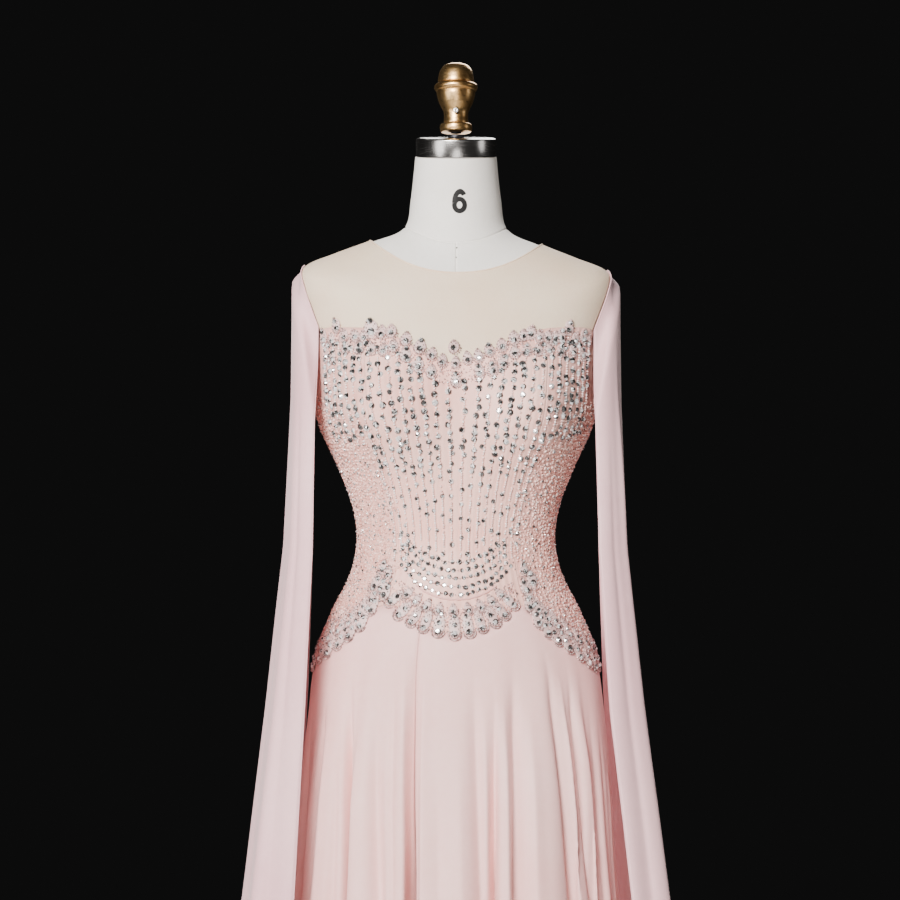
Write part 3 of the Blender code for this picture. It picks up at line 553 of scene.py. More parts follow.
def gridMesh(name, points):
    # a flat grid whose points are then set; its UVs are in metres along and up the cloth
    rows, columns = points.shape[:2]
    bm = bmesh.new()
    bmesh.ops.create_grid(bm, x_segments=columns - 1, y_segments=rows - 1, size=0.5)
    mesh = bpy.data.meshes.new(name)
    bm.to_mesh(mesh)
    bm.free()
    mesh.vertices.foreach_set("co", points.reshape(-1))
    along = np.linalg.norm(np.diff(points, axis=1), axis=2)
    along = np.concatenate((np.zeros((rows, 1)), np.cumsum(along, axis=1)), axis=1)
    upward = np.linalg.norm(np.diff(points, axis=0), axis=2)
    upward = np.concatenate((np.zeros((1, columns)), np.cumsum(upward, axis=0)), axis=0)
    flat = np.stack((along - along.mean(axis=1, keepdims=True), upward), -1).reshape(-1, 2)
    corner = np.empty(len(mesh.loops), dtype=np.int32)
    mesh.loops.foreach_get("vertex_index", corner)
    layer = mesh.uv_layers.new(name="UVMap")
    layer.data.foreach_set("uv", flat[corner].astype(np.float32).reshape(-1))
    mesh.shade_smooth()
    mesh.update()
    return mesh, along, upward


def clothPiece(name, points, thickness, finish, replaced):
    mesh, along, upward = gridMesh(name, points)
    made = addPiece(name, mesh, finish, replaced)
    wall = made.modifiers.new("wall", "SOLIDIFY")
    wall.thickness = thickness
    wall.offset = -1.0
    return made


def tubeAlong(name, points, radius, finish, replaced=()):
    # a round cord through points, made as a bevelled curve and kept as a mesh
    curve = bpy.data.curves.new(name, "CURVE")
    curve.dimensions = "3D"
    curve.bevel_depth = radius
    curve.bevel_resolution = 1
    curve.use_fill_caps = True
    line = curve.splines.new("POLY")
    line.points.add(len(points) - 1)
    for spot, point in zip(line.points, points):
        spot.co = (*point, 1.0)
    drawn = bpy.data.objects.new(name + "_path", curve)
    bpy.context.scene.collection.objects.link(drawn)
    bpy.context.view_layer.update()
    mesh = bpy.data.meshes.new_from_object(drawn.evaluated_get(bpy.context.evaluated_depsgraph_get()))
    bpy.data.objects.remove(drawn)
    mesh.name = name
    mesh.shade_smooth()
    return addPiece(name, mesh, finish, replaced)


creaseRound = 1.6  # the larger, the squarer a crease's section


def creaseRelief(creases, place, height, lowest):
    # how far the fine creases of a table push the cloth out or in
    total = np.zeros(np.broadcast(place, height).shape)
    for top, bottom, start, depth, left, right, fade in creases:
        fall = np.clip((start - height) / (start - lowest), 0, 1)
        off = place - top - (bottom - top) * fall
        off = np.where(off < 0, -off / left, off / right)
        total = total + depth * smooth((start - height) / fade) * np.exp(-off ** creaseRound)
    return total


# The skirt: four gores, their large folds as the solids have them, with the finer ones given one by one
skirt = {
    "hemRadius": 0.0009,
    "frontStep": 0.5,
    "backStep": 1.0,
    "rows": 72,
    "thickness": 0.0009,
    "topGap": 0.0006,
    "seams": (gown["frontSeam"], 90, 180, 270),
    "seamDeep": 0.0008,
    "seamWide": 0.7,
    # the fold at the front seam: depth over the form, depth added below it, widths left and right
    "fold": {"depth": 0.015, "more": 0.022, "left": 2.3, "right": 0.7, "fade": 0.25,
             "belowForm": 0.79, "belowFade": 0.14},
    "creaseFloor": 0.66,
    "growth": 1.5,
    "growthFade": 0.36,
    # place at its top and at the floor, top height, depth, widths left and right, fade length
    "creases": (
        (-84, -86, 0.93, -0.0030, 2.4, 2.4, 0.14), (-79, -80, 0.90, 0.0020, 2.2, 2.2, 0.14),
        (-73, -75, 0.90, -0.0040, 1.9, 1.9, 0.12), (-66, -68, 0.88, 0.0024, 2.2, 2.2, 0.14),
        (-58.5, -62.5, 0.905, -0.0110, 1.6, 1.2, 0.12), (-55, -56, 0.90, 0.0020, 2.2, 2.2, 0.12),
        (-49, -48.6, 0.885, -0.0022, 1.8, 1.8, 0.12), (-44.4, -41.2, 0.940, -0.0130, 2.1, 0.9, 0.16),
        (-42.4, -41.2, 0.790, -0.0100, 2.1, 0.9, 0.14), (12.9, 12.6, 0.790, -0.0060, 2.0, 0.8, 0.12),
        (-38.5, -36.6, 0.90, 0.0030, 1.9, 2.6, 0.12), (-31, -27.2, 0.93, -0.0040, 2.6, 2.6, 0.12),
        (-23.4, -21.5, 0.955, -0.0024, 1.6, 1.6, 0.08), (-19.5, -18.2, 0.95, 0.0026, 1.5, 1.5, 0.08),
        (-11.8, -10.2, 0.97, 0.0034, 1.4, 3.0, 0.10), (-6.0, -5.6, 0.86, -0.0014, 2.4, 2.4, 0.14),
        (0.5, 1.5, 0.90, 0.0014, 2.8, 2.8, 0.14), (5.6, 8.6, 0.950, -0.0044, 2.4, 1.9, 0.10),
        (9.5, 10.8, 0.91, 0.0016, 1.2, 1.2, 0.10), (13.6, 12.6, 0.930, -0.0100, 2.2, 0.8, 0.16),
        (17.0, 16.4, 0.93, 0.0028, 1.3, 1.8, 0.10), (21.2, 20.8, 0.955, -0.0050, 2.4, 2.2, 0.09),
        (27.5, 28.5, 0.92, 0.0026, 2.8, 2.8, 0.12), (36.5, 45.6, 0.965, -0.0056, 2.1, 2.1, 0.08),
        (42.6, 50.2, 0.945, 0.0034, 1.2, 1.2, 0.10), (48.6, 54.6, 0.935, -0.0066, 1.4, 1.3, 0.09),
        (53.0, 59.0, 0.92, 0.0028, 1.5, 1.5, 0.10), (61, 65, 0.91, -0.0020, 1.9, 1.9, 0.12),
        (68, 71, 0.89, -0.0036, 1.7, 1.7, 0.14), (76, 78, 0.90, 0.0018, 1.8, 1.8, 0.14),
        (85, 86, 0.90, -0.0032, 2.0, 2.0, 0.14),
        (97, 96, 0.90, -0.0040, 2.0, 2.4, 0.12), (107, 106, 0.88, 0.0028, 1.9, 1.9, 0.16),
        (118, 120, 0.93, -0.0072, 1.6, 2.0, 0.10), (129, 128, 0.92, 0.0030, 1.9, 1.9, 0.12),
        (139, 141, 0.965, -0.0066, 1.9, 1.4, 0.10), (150, 148, 0.94, 0.0026, 1.6, 1.6, 0.14),
        (158, 160, 0.955, -0.0050, 2.0, 1.5, 0.10), (167, 167, 0.93, 0.0026, 1.6, 1.6, 0.12),
        (175, 176, 0.945, -0.0064, 1.5, 1.9, 0.10), (186, 185, 0.94, 0.0024, 1.5, 1.5, 0.10),
        (195, 197, 0.955, -0.0056, 1.7, 2.2, 0.12), (205, 204, 0.94, 0.0030, 1.9, 1.9, 0.12),
        (215, 217, 0.955, -0.0074, 1.4, 1.8, 0.10), (226, 225, 0.90, 0.0028, 1.8, 1.8, 0.14),
        (234, 236, 0.93, -0.0056, 2.0, 1.6, 0.10), (243, 243, 0.90, 0.0028, 1.8, 1.8, 0.14),
        (254, 253, 0.92, -0.0046, 1.9, 2.4, 0.12), (263, 262, 0.89, -0.0026, 2.2, 2.2, 0.16),
    ),
}


def seamDip(angle, seams, width):
    # a shallow groove where two panels are sewn
    return sum(np.exp(-(((angle - seam + 180) % 360 - 180) / width) ** 2) for seam in seams)


def skirtPanel(name, start, end):
    columns = int((end - start) / skirt["frontStep" if end <= 90 else "backStep"]) + 1
    angle = np.linspace(start, end, columns)[None, :]
    share = np.linspace(0, 1, skirt["rows"])[:, None]
    top = edgeHeight(bodiceBottom, angle) + skirt["topGap"]
    height = gown["hem"] + (top - gown["hem"]) * share
    angle = np.broadcast_to(angle, height.shape)
    relief = creaseRelief(skirt["creases"], (angle + 90) % 360 - 90, height, skirt["creaseFloor"])
    relief = relief * (1 + skirt["growth"] * smooth((top - height) / skirt["growthFade"]))
    relief = relief - skirt["seamDeep"] * seamDip(angle, skirt["seams"], skirt["seamWide"])
    fold = skirt["fold"]
    off = (angle + 180) % 360 - 180 - gown["frontSeam"]
    off = np.where(off < 0, -off / fold["left"], off / fold["right"])
    deep = fold["depth"] * smooth((top - height) / fold["fade"])
    deep = deep + fold["more"] * smooth((fold["belowForm"] - height) / fold["belowFade"])
    relief = relief - deep * np.exp(-off ** creaseRound)
    points = gownAt(levelAt(angle, height), angle, gown["skirtWall"] + relief)
    node = name.replace("_cloth", "")
    tubeAlong(node + "_hem", points[0], skirt["hemRadius"], skirtEdgeLook)
    return clothPiece(name, points, skirt["thickness"], cloth["skirt"], (node,))


skirtPanel("skirt_front_left_cloth", -90, gown["frontSeam"])
skirtPanel("skirt_front_right_cloth", gown["frontSeam"], 90)
skirtPanel("skirt_back_right_cloth", 90, 180)
skirtPanel("skirt_back_left_cloth", 180, 270)
print("skirt made")


# The bodice: five panels with princess seams and fine pintucks
bodice = {
    "degreesPerColumn": 0.9,
    "rows": 60,
    "thickness": 0.0011,
    "tuckPitch": 4.25,
    "tuckHigh": 0.0009,
    "tuckSharp": 3,
    "seams": (-34, 34, 90, 180, 270),
    "seamDeep": 0.0005,
    "seamWide": 0.6,
    # first and last angle, cloth
    "panels": {
        "bodice_front_center_cloth": (-34, 34, "bodice"),
        "bodice_side_front_left_cloth": (-90, -34, "side"),
        "bodice_side_front_right_cloth": (34, 90, "side"),
        "bodice_back_right_cloth": (90, 180, "side"),
        "bodice_back_left_cloth": (180, 270, "side"),
    },
}


def bodicePanel(name, start, end, finish):
    columns = int((end - start) / bodice["degreesPerColumn"]) + 1
    angle = np.linspace(start, end, columns)[None, :]
    share = np.linspace(0, 1, bodice["rows"])[:, None]
    low, high = edgeHeight(bodiceBottom, angle), edgeHeight(bodiceTop, angle)
    height = low + (high - low) * share
    angle = np.broadcast_to(angle, height.shape)
    wave = 0.5 + 0.5 * np.cos(math.tau * angle / bodice["tuckPitch"])
    sewn = bodice["seamDeep"] * seamDip(angle, bodice["seams"], bodice["seamWide"])
    relief = bodice["tuckHigh"] * wave ** bodice["tuckSharp"] - sewn
    points = gownAt(levelAt(angle, height), angle, gown["bodiceWall"] + relief)
    node = name.replace("_cloth", "")
    return clothPiece(name, points, bodice["thickness"], finish, (node,))


for name, (start, end, kind) in bodice["panels"].items():
    bodicePanel(name, start, end, cloth[kind])
print("bodice made")


# The yoke: sheer mesh over the form, from the bodice's top edge to the round neck
yoke = {
    "bindingRadius": 0.0008,
    "bindingDrop": 0.03,
    "bindingOut": 0.0002,
    "bindingReach": 179,
    "bindingPoints": 220,
    "foot": 0.003,
    "backEnd": 179.99,
    "pullWide": 11.0,
    "degreesPerColumn": 1.3,
    "rows": 44,
    "thickness": 0.0006,
    "pulls": (  # faint pulls toward the armholes: angle, height, depth, half height
        (-62, 1.372, -0.0006, 0.0035), (-60, 1.386, 0.0005, 0.0040), (-58, 1.398, -0.0005, 0.0035),
        (-66, 1.358, 0.0004, 0.0035), (60, 1.375, -0.0004, 0.0040), (57, 1.392, 0.0004, 0.0045)),
}


def armholeAngle(level, lowLevel, lowAngle):
    # how far round the armhole's edge lies at a level
    share = np.clip((level - lowLevel) / (gownLevel["shoulderTip"] - lowLevel), 0, 1)
    return 90 - (90 - lowAngle) * (1 - share) ** (1 / gown["armholeRound"])


def yokePanel(name, start, end, endAngle):
    angle = np.linspace(start, end, int((end - start) / yoke["degreesPerColumn"]) + 1)[None, :]
    share = np.linspace(0, 1, yoke["rows"])[:, None]
    neckline = gownLevel["neckline"]
    cornerLevel = levelAt(endAngle, np.interp(endAngle, bodiceTop[:, 0], bodiceTop[:, 1]))
    edgeLevel = cornerLevel + (neckline - cornerLevel) * share
    reach = armholeAngle(edgeLevel, cornerLevel, min(endAngle, 180 - endAngle))
    if endAngle < 90:
        turned = angle * reach / endAngle
    else:
        signed = (angle + 180) % 360 - 180
        middle = np.sign(signed) * (180 - np.abs(signed))
        turned = np.sign(signed) * 180 - middle * reach / (180 - endAngle)
    low = levelAt(angle, edgeHeight(bodiceTop, angle) - yoke["foot"])
    level = low + (neckline - low) * share
    height = skinAt(gownTable, level, turned, gown["gownBust"])[..., 2]
    relief = np.zeros(height.shape)
    for centre, rise, depth, tall in yoke["pulls"]:
        near = np.exp(-((turned - centre) / yoke["pullWide"]) ** 2 - ((height - rise) / tall) ** 2)
        relief = relief + depth * near
    points = gownAt(level, turned, gown["yokeWall"] + relief)
    return clothPiece(name, points, yoke["thickness"], cloth["yoke"],
                      (name.replace("_cloth", ""),))


def necklineBinding():
    ring = np.linspace(-yoke["bindingReach"], yoke["bindingReach"], yoke["bindingPoints"])
    level = np.full(ring.shape, gownLevel["neckline"] - yoke["bindingDrop"])
    points = gownAt(level, ring, gown["yokeWall"] + yoke["bindingOut"])
    tubeAlong("neckline_binding", points, yoke["bindingRadius"], neckEdgeLook,
              ("neckline_edging",))


armholeBack = 180 - gown["armhole"]
yokePanel("yoke_front_cloth", -gown["armhole"], gown["armhole"], gown["armhole"])
yokePanel("yoke_back_right_cloth", armholeBack, yoke["backEnd"], armholeBack)
yokePanel("yoke_back_left_cloth", -yoke["backEnd"], -armholeBack, armholeBack)
necklineBinding()
print("yoke made")


# The cape sleeves: a C in plan, set in round the armhole and open toward the body
sleeve = {
    "hemRadius": 0.0007,
    "bindingRadius": 0.0008,
    "columns": 84,
    "rows": 100,
    "thickness": 0.0008,
    "foldDepth": 0.013,
    "foldStart": 1.30,
    "foldFade": 1.6,
    "square": 2.4,
    "rowPower": 1.6,
    "hangFade": 0.11,
    "hangRound": 0.09,
    "slopeStep": (0.004, 0.01),
    "creaseFloor": 0.06,
    # share across at its top and at the floor, top height, depth, widths left and right, fade length
    "creases": {
        -1: ((0.16, 0.13, 1.34, -0.0026, 0.030, 0.030, 0.30), (0.27, 0.30, 1.24, -0.0022, 0.022, 0.022, 0.30),
             (0.40, 0.42, 1.30, 0.0028, 0.030, 0.030, 0.30), (0.55, 0.55, 1.34, -0.0038, 0.030, 0.030, 0.25),
             (0.66, 0.68, 1.26, 0.0028, 0.025, 0.025, 0.25), (0.80, 0.78, 1.30, -0.0034, 0.025, 0.025, 0.30),
             (0.92, 0.93, 1.10, 0.0022, 0.020, 0.020, 0.30)),
        1: ((0.13, 0.16, 1.28, -0.0022, 0.028, 0.028, 0.30), (0.24, 0.24, 1.34, 0.0050, 0.030, 0.024, 0.20),
            (0.36, 0.33, 1.30, -0.0032, 0.028, 0.028, 0.25), (0.47, 0.48, 1.32, -0.0028, 0.026, 0.026, 0.30),
            (0.60, 0.58, 1.28, 0.0028, 0.030, 0.030, 0.30), (0.70, 0.72, 1.32, -0.0034, 0.026, 0.026, 0.25),
            (0.84, 0.82, 1.22, 0.0026, 0.022, 0.022, 0.30)),
    },
}


def sleeveAt(side, across, down):
    across, down = np.broadcast_arrays(np.asarray(across, float), np.asarray(down, float))
    lowAngle = np.where(across < 0.5, gown["armhole"], 180 - gown["armhole"])
    lowLevel = levelAt(lowAngle, np.interp(lowAngle, bodiceTop[:, 0], bodiceTop[:, 1]))
    tip = gownLevel["shoulderTip"]
    angle = gown["armhole"] + (180 - 2 * gown["armhole"]) * across
    level = tip - (tip - lowLevel) * np.abs(2 * across - 1) ** gown["armholeRound"]
    settled = smooth((1 - np.abs(2 * across - 1)) / gown["sleeveSettle"])
    under = gown["bodiceWall"] + (gown["yokeWall"] - gown["bodiceWall"]) * settled
    seam = gownAt(level, side * angle, under + gown["sleeveLift"])
    z = seam[..., 2] + (sleeveSections[0, 0] - seam[..., 2]) * down
    size = [np.interp(z, sleeveSections[:, 0], sleeveSections[:, column]) for column in range(1, 7)]
    inFront = across < 0.5
    inner = np.where(inFront, size[1] if side < 0 else size[2], size[3])
    depth = np.where(inFront, size[4], size[5])
    turn = np.pi * across
    x = inner + (size[0] - inner) * np.abs(np.sin(turn)) ** (2 / sleeve["square"])
    y = -depth * np.sign(np.cos(turn)) * np.abs(np.cos(turn)) ** (2 / sleeve["square"])
    fall = smooth((sleeve["foldStart"] - z) / sleeve["foldFade"]) * sleeve["foldFade"]
    bulge = sleeve["foldDepth"] * fall * standAt(sleeveFolds, across)
    x = x + bulge * np.sin(turn)
    y = y - bulge * np.cos(turn)
    eased = sleeve["hangFade"] - sleeve["hangRound"] * (1 - np.abs(2 * across - 1))
    hang = smooth((seam[..., 2] - z) / eased)[..., None]
    hanging = np.stack((side * x, y, z), -1)
    start = np.stack((seam[..., 0], seam[..., 1], z), -1)
    return hanging * hang + start * (1 - hang)


def capeSleeve(name, side):
    rows = np.linspace(0, 1, sleeve["rows"]) ** sleeve["rowPower"]
    down = rows[::-1][:, None]
    across = np.linspace(0, 1, sleeve["columns"])[None, :]

    def surface(u, v):
        return sleeveAt(side, v, u)

    stepDown, stepAcross = sleeve["slopeStep"]
    probeDown = np.clip(down, stepDown, 1 - stepDown)
    probeAcross = np.clip(across, stepAcross, 1 - stepAcross)
    away = normalAt(surface, probeDown, probeAcross, sleeve["slopeStep"]) * -side
    inside = sleeveAt(side, across, down)
    relief = creaseRelief(sleeve["creases"][side], across, inside[..., 2], sleeve["creaseFloor"])
    points = inside + away * (gown["sleeveWall"] + relief)[..., None]
    hemmed = points - away * (sleeve["thickness"] / 2)
    label = "left" if side < 0 else "right"
    around = np.concatenate((hemmed[::-1, 0], hemmed[0, 1:-1], hemmed[:, -1]))
    tubeAlong("cape_sleeve_hem_" + label, around, sleeve["hemRadius"], sleeveEdgeLook)
    tubeAlong("armhole_binding_" + label, hemmed[-1], sleeve["bindingRadius"], sleeveEdgeLook)
    if side < 0:
        points = points[:, ::-1]
    return clothPiece(name, points, sleeve["thickness"], cloth["sleeve"],
                      (name.replace("_cloth", ""),))


capeSleeve("cape_sleeve_left_cloth", -1)
capeSleeve("cape_sleeve_right_cloth", 1)
print("sleeves made")


# Beads and stones: one template each, repeated as one joined mesh
def template(build):
    bm = bmesh.new()
    build(bm)
    bmesh.ops.triangulate(bm, faces=bm.faces[:])
    bm.verts.index_update()
    points = np.array([vert.co[:] for vert in bm.verts])
    faces = np.array([[vert.index for vert in face.verts] for face in bm.faces])
    bm.free()
    return points, faces


def cutStone(bm):
    bmesh.ops.create_cone(bm, cap_ends=True, segments=8, radius1=1.0, radius2=0.52, depth=0.62)
    top = [vert for vert in bm.verts if vert.co.z > 0]
    bmesh.ops.rotate(bm, verts=top, cent=(0, 0, 0), matrix=Matrix.Rotation(math.tau / 16, 3, "Z"))


def seedBead(bm):
    bmesh.ops.create_icosphere(bm, subdivisions=1, radius=1.0)


def pebble(bm):
    bmesh.ops.create_icosphere(bm, subdivisions=1, radius=1.0)
    bmesh.ops.scale(bm, vec=(1.0, 1.0, 0.6), verts=bm.verts[:])


def softPad(bm):
    bmesh.ops.create_uvsphere(bm, u_segments=14, v_segments=8, radius=1.0)


templates = {build.__name__: template(build) for build in (cutStone, seedBead, pebble, softPad)}


def framesAt(angle, height, out, spin, tilt):
    # places on the gown, each with its own axes: spun about the way out, and tilted a little at random
    level = levelAt(angle, height)
    centre = gownAt(level, angle, out)
    away = normalAt(foldedAt, level, angle, gown["slopeStep"])
    away = unit(away + luck.normal(0, 1, away.shape) * tilt)
    across = unit(np.cross(np.array((0.0, 0.0, 1.0)), away))
    upward = np.cross(away, across)
    turn = np.asarray(spin)[..., None]
    first = across * np.cos(turn) + upward * np.sin(turn)
    second = np.cross(away, first)
    return centre, np.stack((first, second, away), -1)


def scatter(name, kind, centre, axes, size, finish, tones, smoothFaces, replaced=()):
    # size is one number for each, or three along its own axes
    points, faces = templates[kind]
    count = len(centre)
    size = np.broadcast_to(np.asarray(size, float).reshape(count, -1), (count, 3))
    local = points[None] * size[:, None]
    placed = centre[:, None] + np.einsum("nij,nkj->nki", axes, local)
    corner = (faces[None] + np.arange(count)[:, None, None] * len(points)).reshape(-1)
    mesh = bpy.data.meshes.new(name)
    mesh.vertices.add(count * len(points))
    mesh.vertices.foreach_set("co", placed.reshape(-1))
    mesh.loops.add(len(corner))
    mesh.loops.foreach_set("vertex_index", corner.astype(np.int32))
    mesh.polygons.add(len(corner) // 3)
    mesh.polygons.foreach_set("loop_start", np.arange(0, len(corner), 3, dtype=np.int32))
    mesh.update(calc_edges=True)
    mark = mesh.attributes.new("tone", "FLOAT", "FACE")
    mark.data.foreach_set("value", np.asarray(tones, np.float32).reshape(-1))
    if smoothFaces:
        mesh.shade_smooth()
    else:
        mesh.shade_flat()
    return addPiece(name, mesh, finish, replaced)


# the painted reflections of the cut stones: where the dark side begins, the share turned the other way, and
# the painted dark and bright tones
facets = {
    "edge": (-0.45, 0.20),
    "turned": 0.12,
    "dark": (0.0, 0.12),
    "bright": (0.55, 1.0),
}


def paintedGlintTones(count, kind):
    # painted reflections and glints: one side of each stone is dark and the rest bright, with a few facets
    # the other way round, in place of the light the glass would mirror
    points, faces = templates[kind]
    middle = points[faces].mean(axis=1)
    around = np.arctan2(middle[:, 1], middle[:, 0])
    turn = luck.uniform(0, math.tau, (count, 1))
    facing = np.cos(around[None] - turn) * np.hypot(middle[:, 0], middle[:, 1])[None]
    edge = luck.uniform(*facets["edge"], (count, 1))
    draw = luck.random(facing.shape)
    dark = (facing > edge) ^ (draw < facets["turned"])
    shade = luck.uniform(*facets["dark"], draw.shape)
    return np.where(dark, shade, luck.uniform(*facets["bright"], draw.shape))


def beadTones(count, kind, low, high):
    return np.repeat(luck.uniform(low, high, (count, 1)), len(templates[kind][1]), axis=1)


def degreesFor(angle, height, metres):
    # how many degrees round the gown a distance is, at a place
    level = levelAt(angle, height)
    step = foldedAt(level, angle + 1.0) - foldedAt(level, angle - 1.0)
    return 2.0 * metres / np.linalg.norm(step, axis=-1)


class BeadBox:
    # collects places of one kind of bead until they are joined in one mesh
    def __init__(self):
        self.rows = []

    def add(self, angle, height, out, size, spin=0.0, long=0.0):
        for row in np.broadcast(angle, height, out, size, spin, long):
            self.rows.append(row)

    def table(self):
        return np.array(self.rows).T


# Applique drops: a ring of seed beads round one or more stones, on a soft backing
drops = {
    "seedPitch": 0.0022,
    "seedRadius": 0.0012,
    "padRise": 0.0013,
    "lift": 0.0024,
    "padShare": 0.46,
    "padOut": 0.0004,
    "pointed": 0.45,
    "seedOut": 0.0009,
    "innerShare": 0.66,
    "innerRise": 0.0006,
    "innerOut": 0.0015,
    "innerSize": 0.85,
    "stoneShare": 0.29,
    "stoneStep": 0.66,
    "stoneShrink": 0.16,
    "stoneOut": 0.0024,
    "stoneTilt": 0.08,
    "secondRise": 0.020,
    "secondScale": 0.80,
    # angle, height of the lowest stone, lean, width, length, stones
    "sweetheart": (
        (-60.4, 1.331, 4, 0.014, 0.021, 2), (-53.5, 1.328, 2, 0.012, 0.016, 1),
        (-48.5, 1.343, 2, 0.013, 0.019, 2), (-44.8, 1.331, -8, 0.012, 0.017, 1),
        (-38.2, 1.331, 10, 0.013, 0.016, 1), (-33.6, 1.329, 0, 0.012, 0.015, 1),
        (-29.6, 1.337, 0, 0.019, 0.024, 2), (-25.2, 1.333, -14, 0.013, 0.018, 1),
        (-20.8, 1.335, -10, 0.014, 0.017, 1), (-15.3, 1.325, -14, 0.014, 0.018, 1),
        (-10.3, 1.316, -12, 0.015, 0.019, 2), (-6.5, 1.308, -18, 0.013, 0.016, 1),
        (-3.3, 1.300, -8, 0.012, 0.016, 1), (-0.4, 1.317, 0, 0.014, 0.016, 1),
        (-0.1, 1.298, 0, 0.011, 0.015, 1), (2.6, 1.303, 12, 0.012, 0.016, 1),
        (5.8, 1.305, 14, 0.012, 0.017, 1), (9.2, 1.312, 14, 0.013, 0.017, 2),
        (13.7, 1.318, 14, 0.014, 0.017, 1), (18.1, 1.326, 10, 0.014, 0.018, 1),
        (21.8, 1.330, 4, 0.012, 0.015, 1), (24.9, 1.333, 0, 0.014, 0.018, 1),
        (29.1, 1.329, 4, 0.012, 0.016, 1), (33.5, 1.328, 2, 0.013, 0.017, 1),
        (37.0, 1.329, 2, 0.012, 0.015, 1), (40.2, 1.330, -4, 0.013, 0.018, 2),
        (43.9, 1.340, 2, 0.013, 0.019, 2), (49.5, 1.328, -2, 0.012, 0.017, 1),
        (55.8, 1.330, 2, 0.014, 0.020, 2), (60.6, 1.327, -2, 0.011, 0.016, 1)),
    "sweetheartInner": (
        (-59.6, 1.310, 4, 0.012, 0.018, 2), (-53.7, 1.306, 4, 0.012, 0.017, 2),
        (-44.3, 1.316, 4, 0.012, 0.017, 2), (-36.8, 1.315, 4, 0.012, 0.016, 1),
        (-30.3, 1.313, 2, 0.012, 0.017, 1), (-24.9, 1.312, -6, 0.013, 0.017, 1),
        (-20.5, 1.317, -10, 0.013, 0.016, 1), (-15.9, 1.306, -12, 0.014, 0.019, 2),
        (-11.3, 1.294, -10, 0.014, 0.019, 2), (-7.0, 1.287, -12, 0.013, 0.017, 1),
        (-0.1, 1.278, 0, 0.014, 0.018, 2), (6.4, 1.287, 12, 0.013, 0.019, 2),
        (10.9, 1.289, 12, 0.013, 0.018, 2), (14.5, 1.297, 10, 0.013, 0.018, 1),
        (18.8, 1.309, 8, 0.013, 0.017, 1), (23.8, 1.312, 4, 0.012, 0.016, 1),
        (29.0, 1.312, 2, 0.012, 0.016, 1), (34.4, 1.313, 2, 0.012, 0.016, 1),
        (40.9, 1.312, 0, 0.012, 0.017, 2), (48.6, 1.313, 0, 0.012, 0.017, 2),
        (56.5, 1.310, 0, 0.012, 0.017, 2)),
    "fan": (
        (-32.5, 1.021, -46, 0.014, 0.027, 2), (-26.0, 1.007, -42, 0.014, 0.028, 2),
        (-19.4, 0.999, -30, 0.013, 0.028, 2), (-13.6, 0.993, -22, 0.013, 0.029, 2),
        (-7.2, 0.989, -9, 0.015, 0.031, 3), (-0.6, 0.986, 1, 0.015, 0.032, 3),
        (5.0, 0.988, 9, 0.014, 0.031, 3), (10.6, 0.993, 18, 0.013, 0.029, 2),
        (16.4, 0.999, 27, 0.014, 0.028, 2), (21.4, 1.007, 38, 0.013, 0.028, 2),
        (27.2, 1.018, 44, 0.013, 0.026, 2)),
    "fanInner": (
        (-24.5, 1.030, -44, 0.011, 0.016, 1), (-19.0, 1.022, -32, 0.011, 0.016, 1),
        (-13.4, 1.016, -22, 0.011, 0.016, 1), (-7.4, 1.012, -11, 0.011, 0.015, 1),
        (-1.2, 1.011, 0, 0.011, 0.015, 1), (5.0, 1.012, 9, 0.011, 0.015, 1),
        (11.0, 1.015, 20, 0.011, 0.016, 1), (16.8, 1.021, 30, 0.011, 0.016, 1),
        (22.0, 1.029, 40, 0.011, 0.016, 1)),
    "hipRight": (
        (37.5, 1.034, 10, 0.014, 0.022, 2), (43.5, 1.042, 6, 0.016, 0.024, 2),
        (39.5, 1.056, 6, 0.012, 0.018, 2)),
    "hipLeft": (
        (-37.5, 1.028, -10, 0.014, 0.022, 2), (-46.5, 1.037, -14, 0.016, 0.026, 2),
        (-41.5, 1.036, -12, 0.013, 0.020, 2), (-43.5, 1.058, -8, 0.012, 0.018, 2),
        (-38.5, 1.052, -6, 0.011, 0.016, 1)),
    "basqueRight": (
        (36.2, 1.014, -4, 0.014, 0.026, 2), (38.6, 0.996, 4, 0.015, 0.030, 3),
        (42.4, 0.984, 12, 0.014, 0.034, 3), (47.0, 0.975, 16, 0.014, 0.036, 3),
        (53.2, 0.965, 18, 0.014, 0.036, 3), (60.0, 0.954, 16, 0.013, 0.032, 2),
        (67.0, 0.945, 12, 0.013, 0.030, 2), (74.0, 0.939, 8, 0.013, 0.030, 2)),
    "basqueLeft": (
        (-42.8, 1.011, -8, 0.015, 0.028, 2), (-46.4, 0.992, -8, 0.015, 0.034, 3),
        (-51.7, 0.979, -12, 0.014, 0.036, 3), (-57.7, 0.968, -14, 0.014, 0.036, 3),
        (-65.0, 0.957, -14, 0.014, 0.032, 2), (-72.5, 0.949, -10, 0.013, 0.030, 2)),
    "basqueSide": (
        (81.0, 0.938, 4, 0.013, 0.030, 2), (88.8, 0.937, 0, 0.014, 0.030, 2),
        (96.4, 0.939, -4, 0.013, 0.030, 2), (104.0, 0.944, -8, 0.013, 0.031, 2),
        (111.6, 0.956, -10, 0.014, 0.032, 3), (119.2, 0.967, -10, 0.013, 0.032, 2),
        (127.0, 0.978, -8, 0.014, 0.034, 3), (134.8, 0.989, -4, 0.013, 0.032, 2),
        (142.4, 1.001, 0, 0.014, 0.030, 2)),
}


def turnedIn(s, t, lean):
    # a place in a drop, turned by the drop's lean
    turn = np.radians(lean)
    return s * np.cos(turn) - t * np.sin(turn), s * np.sin(turn) + t * np.cos(turn)


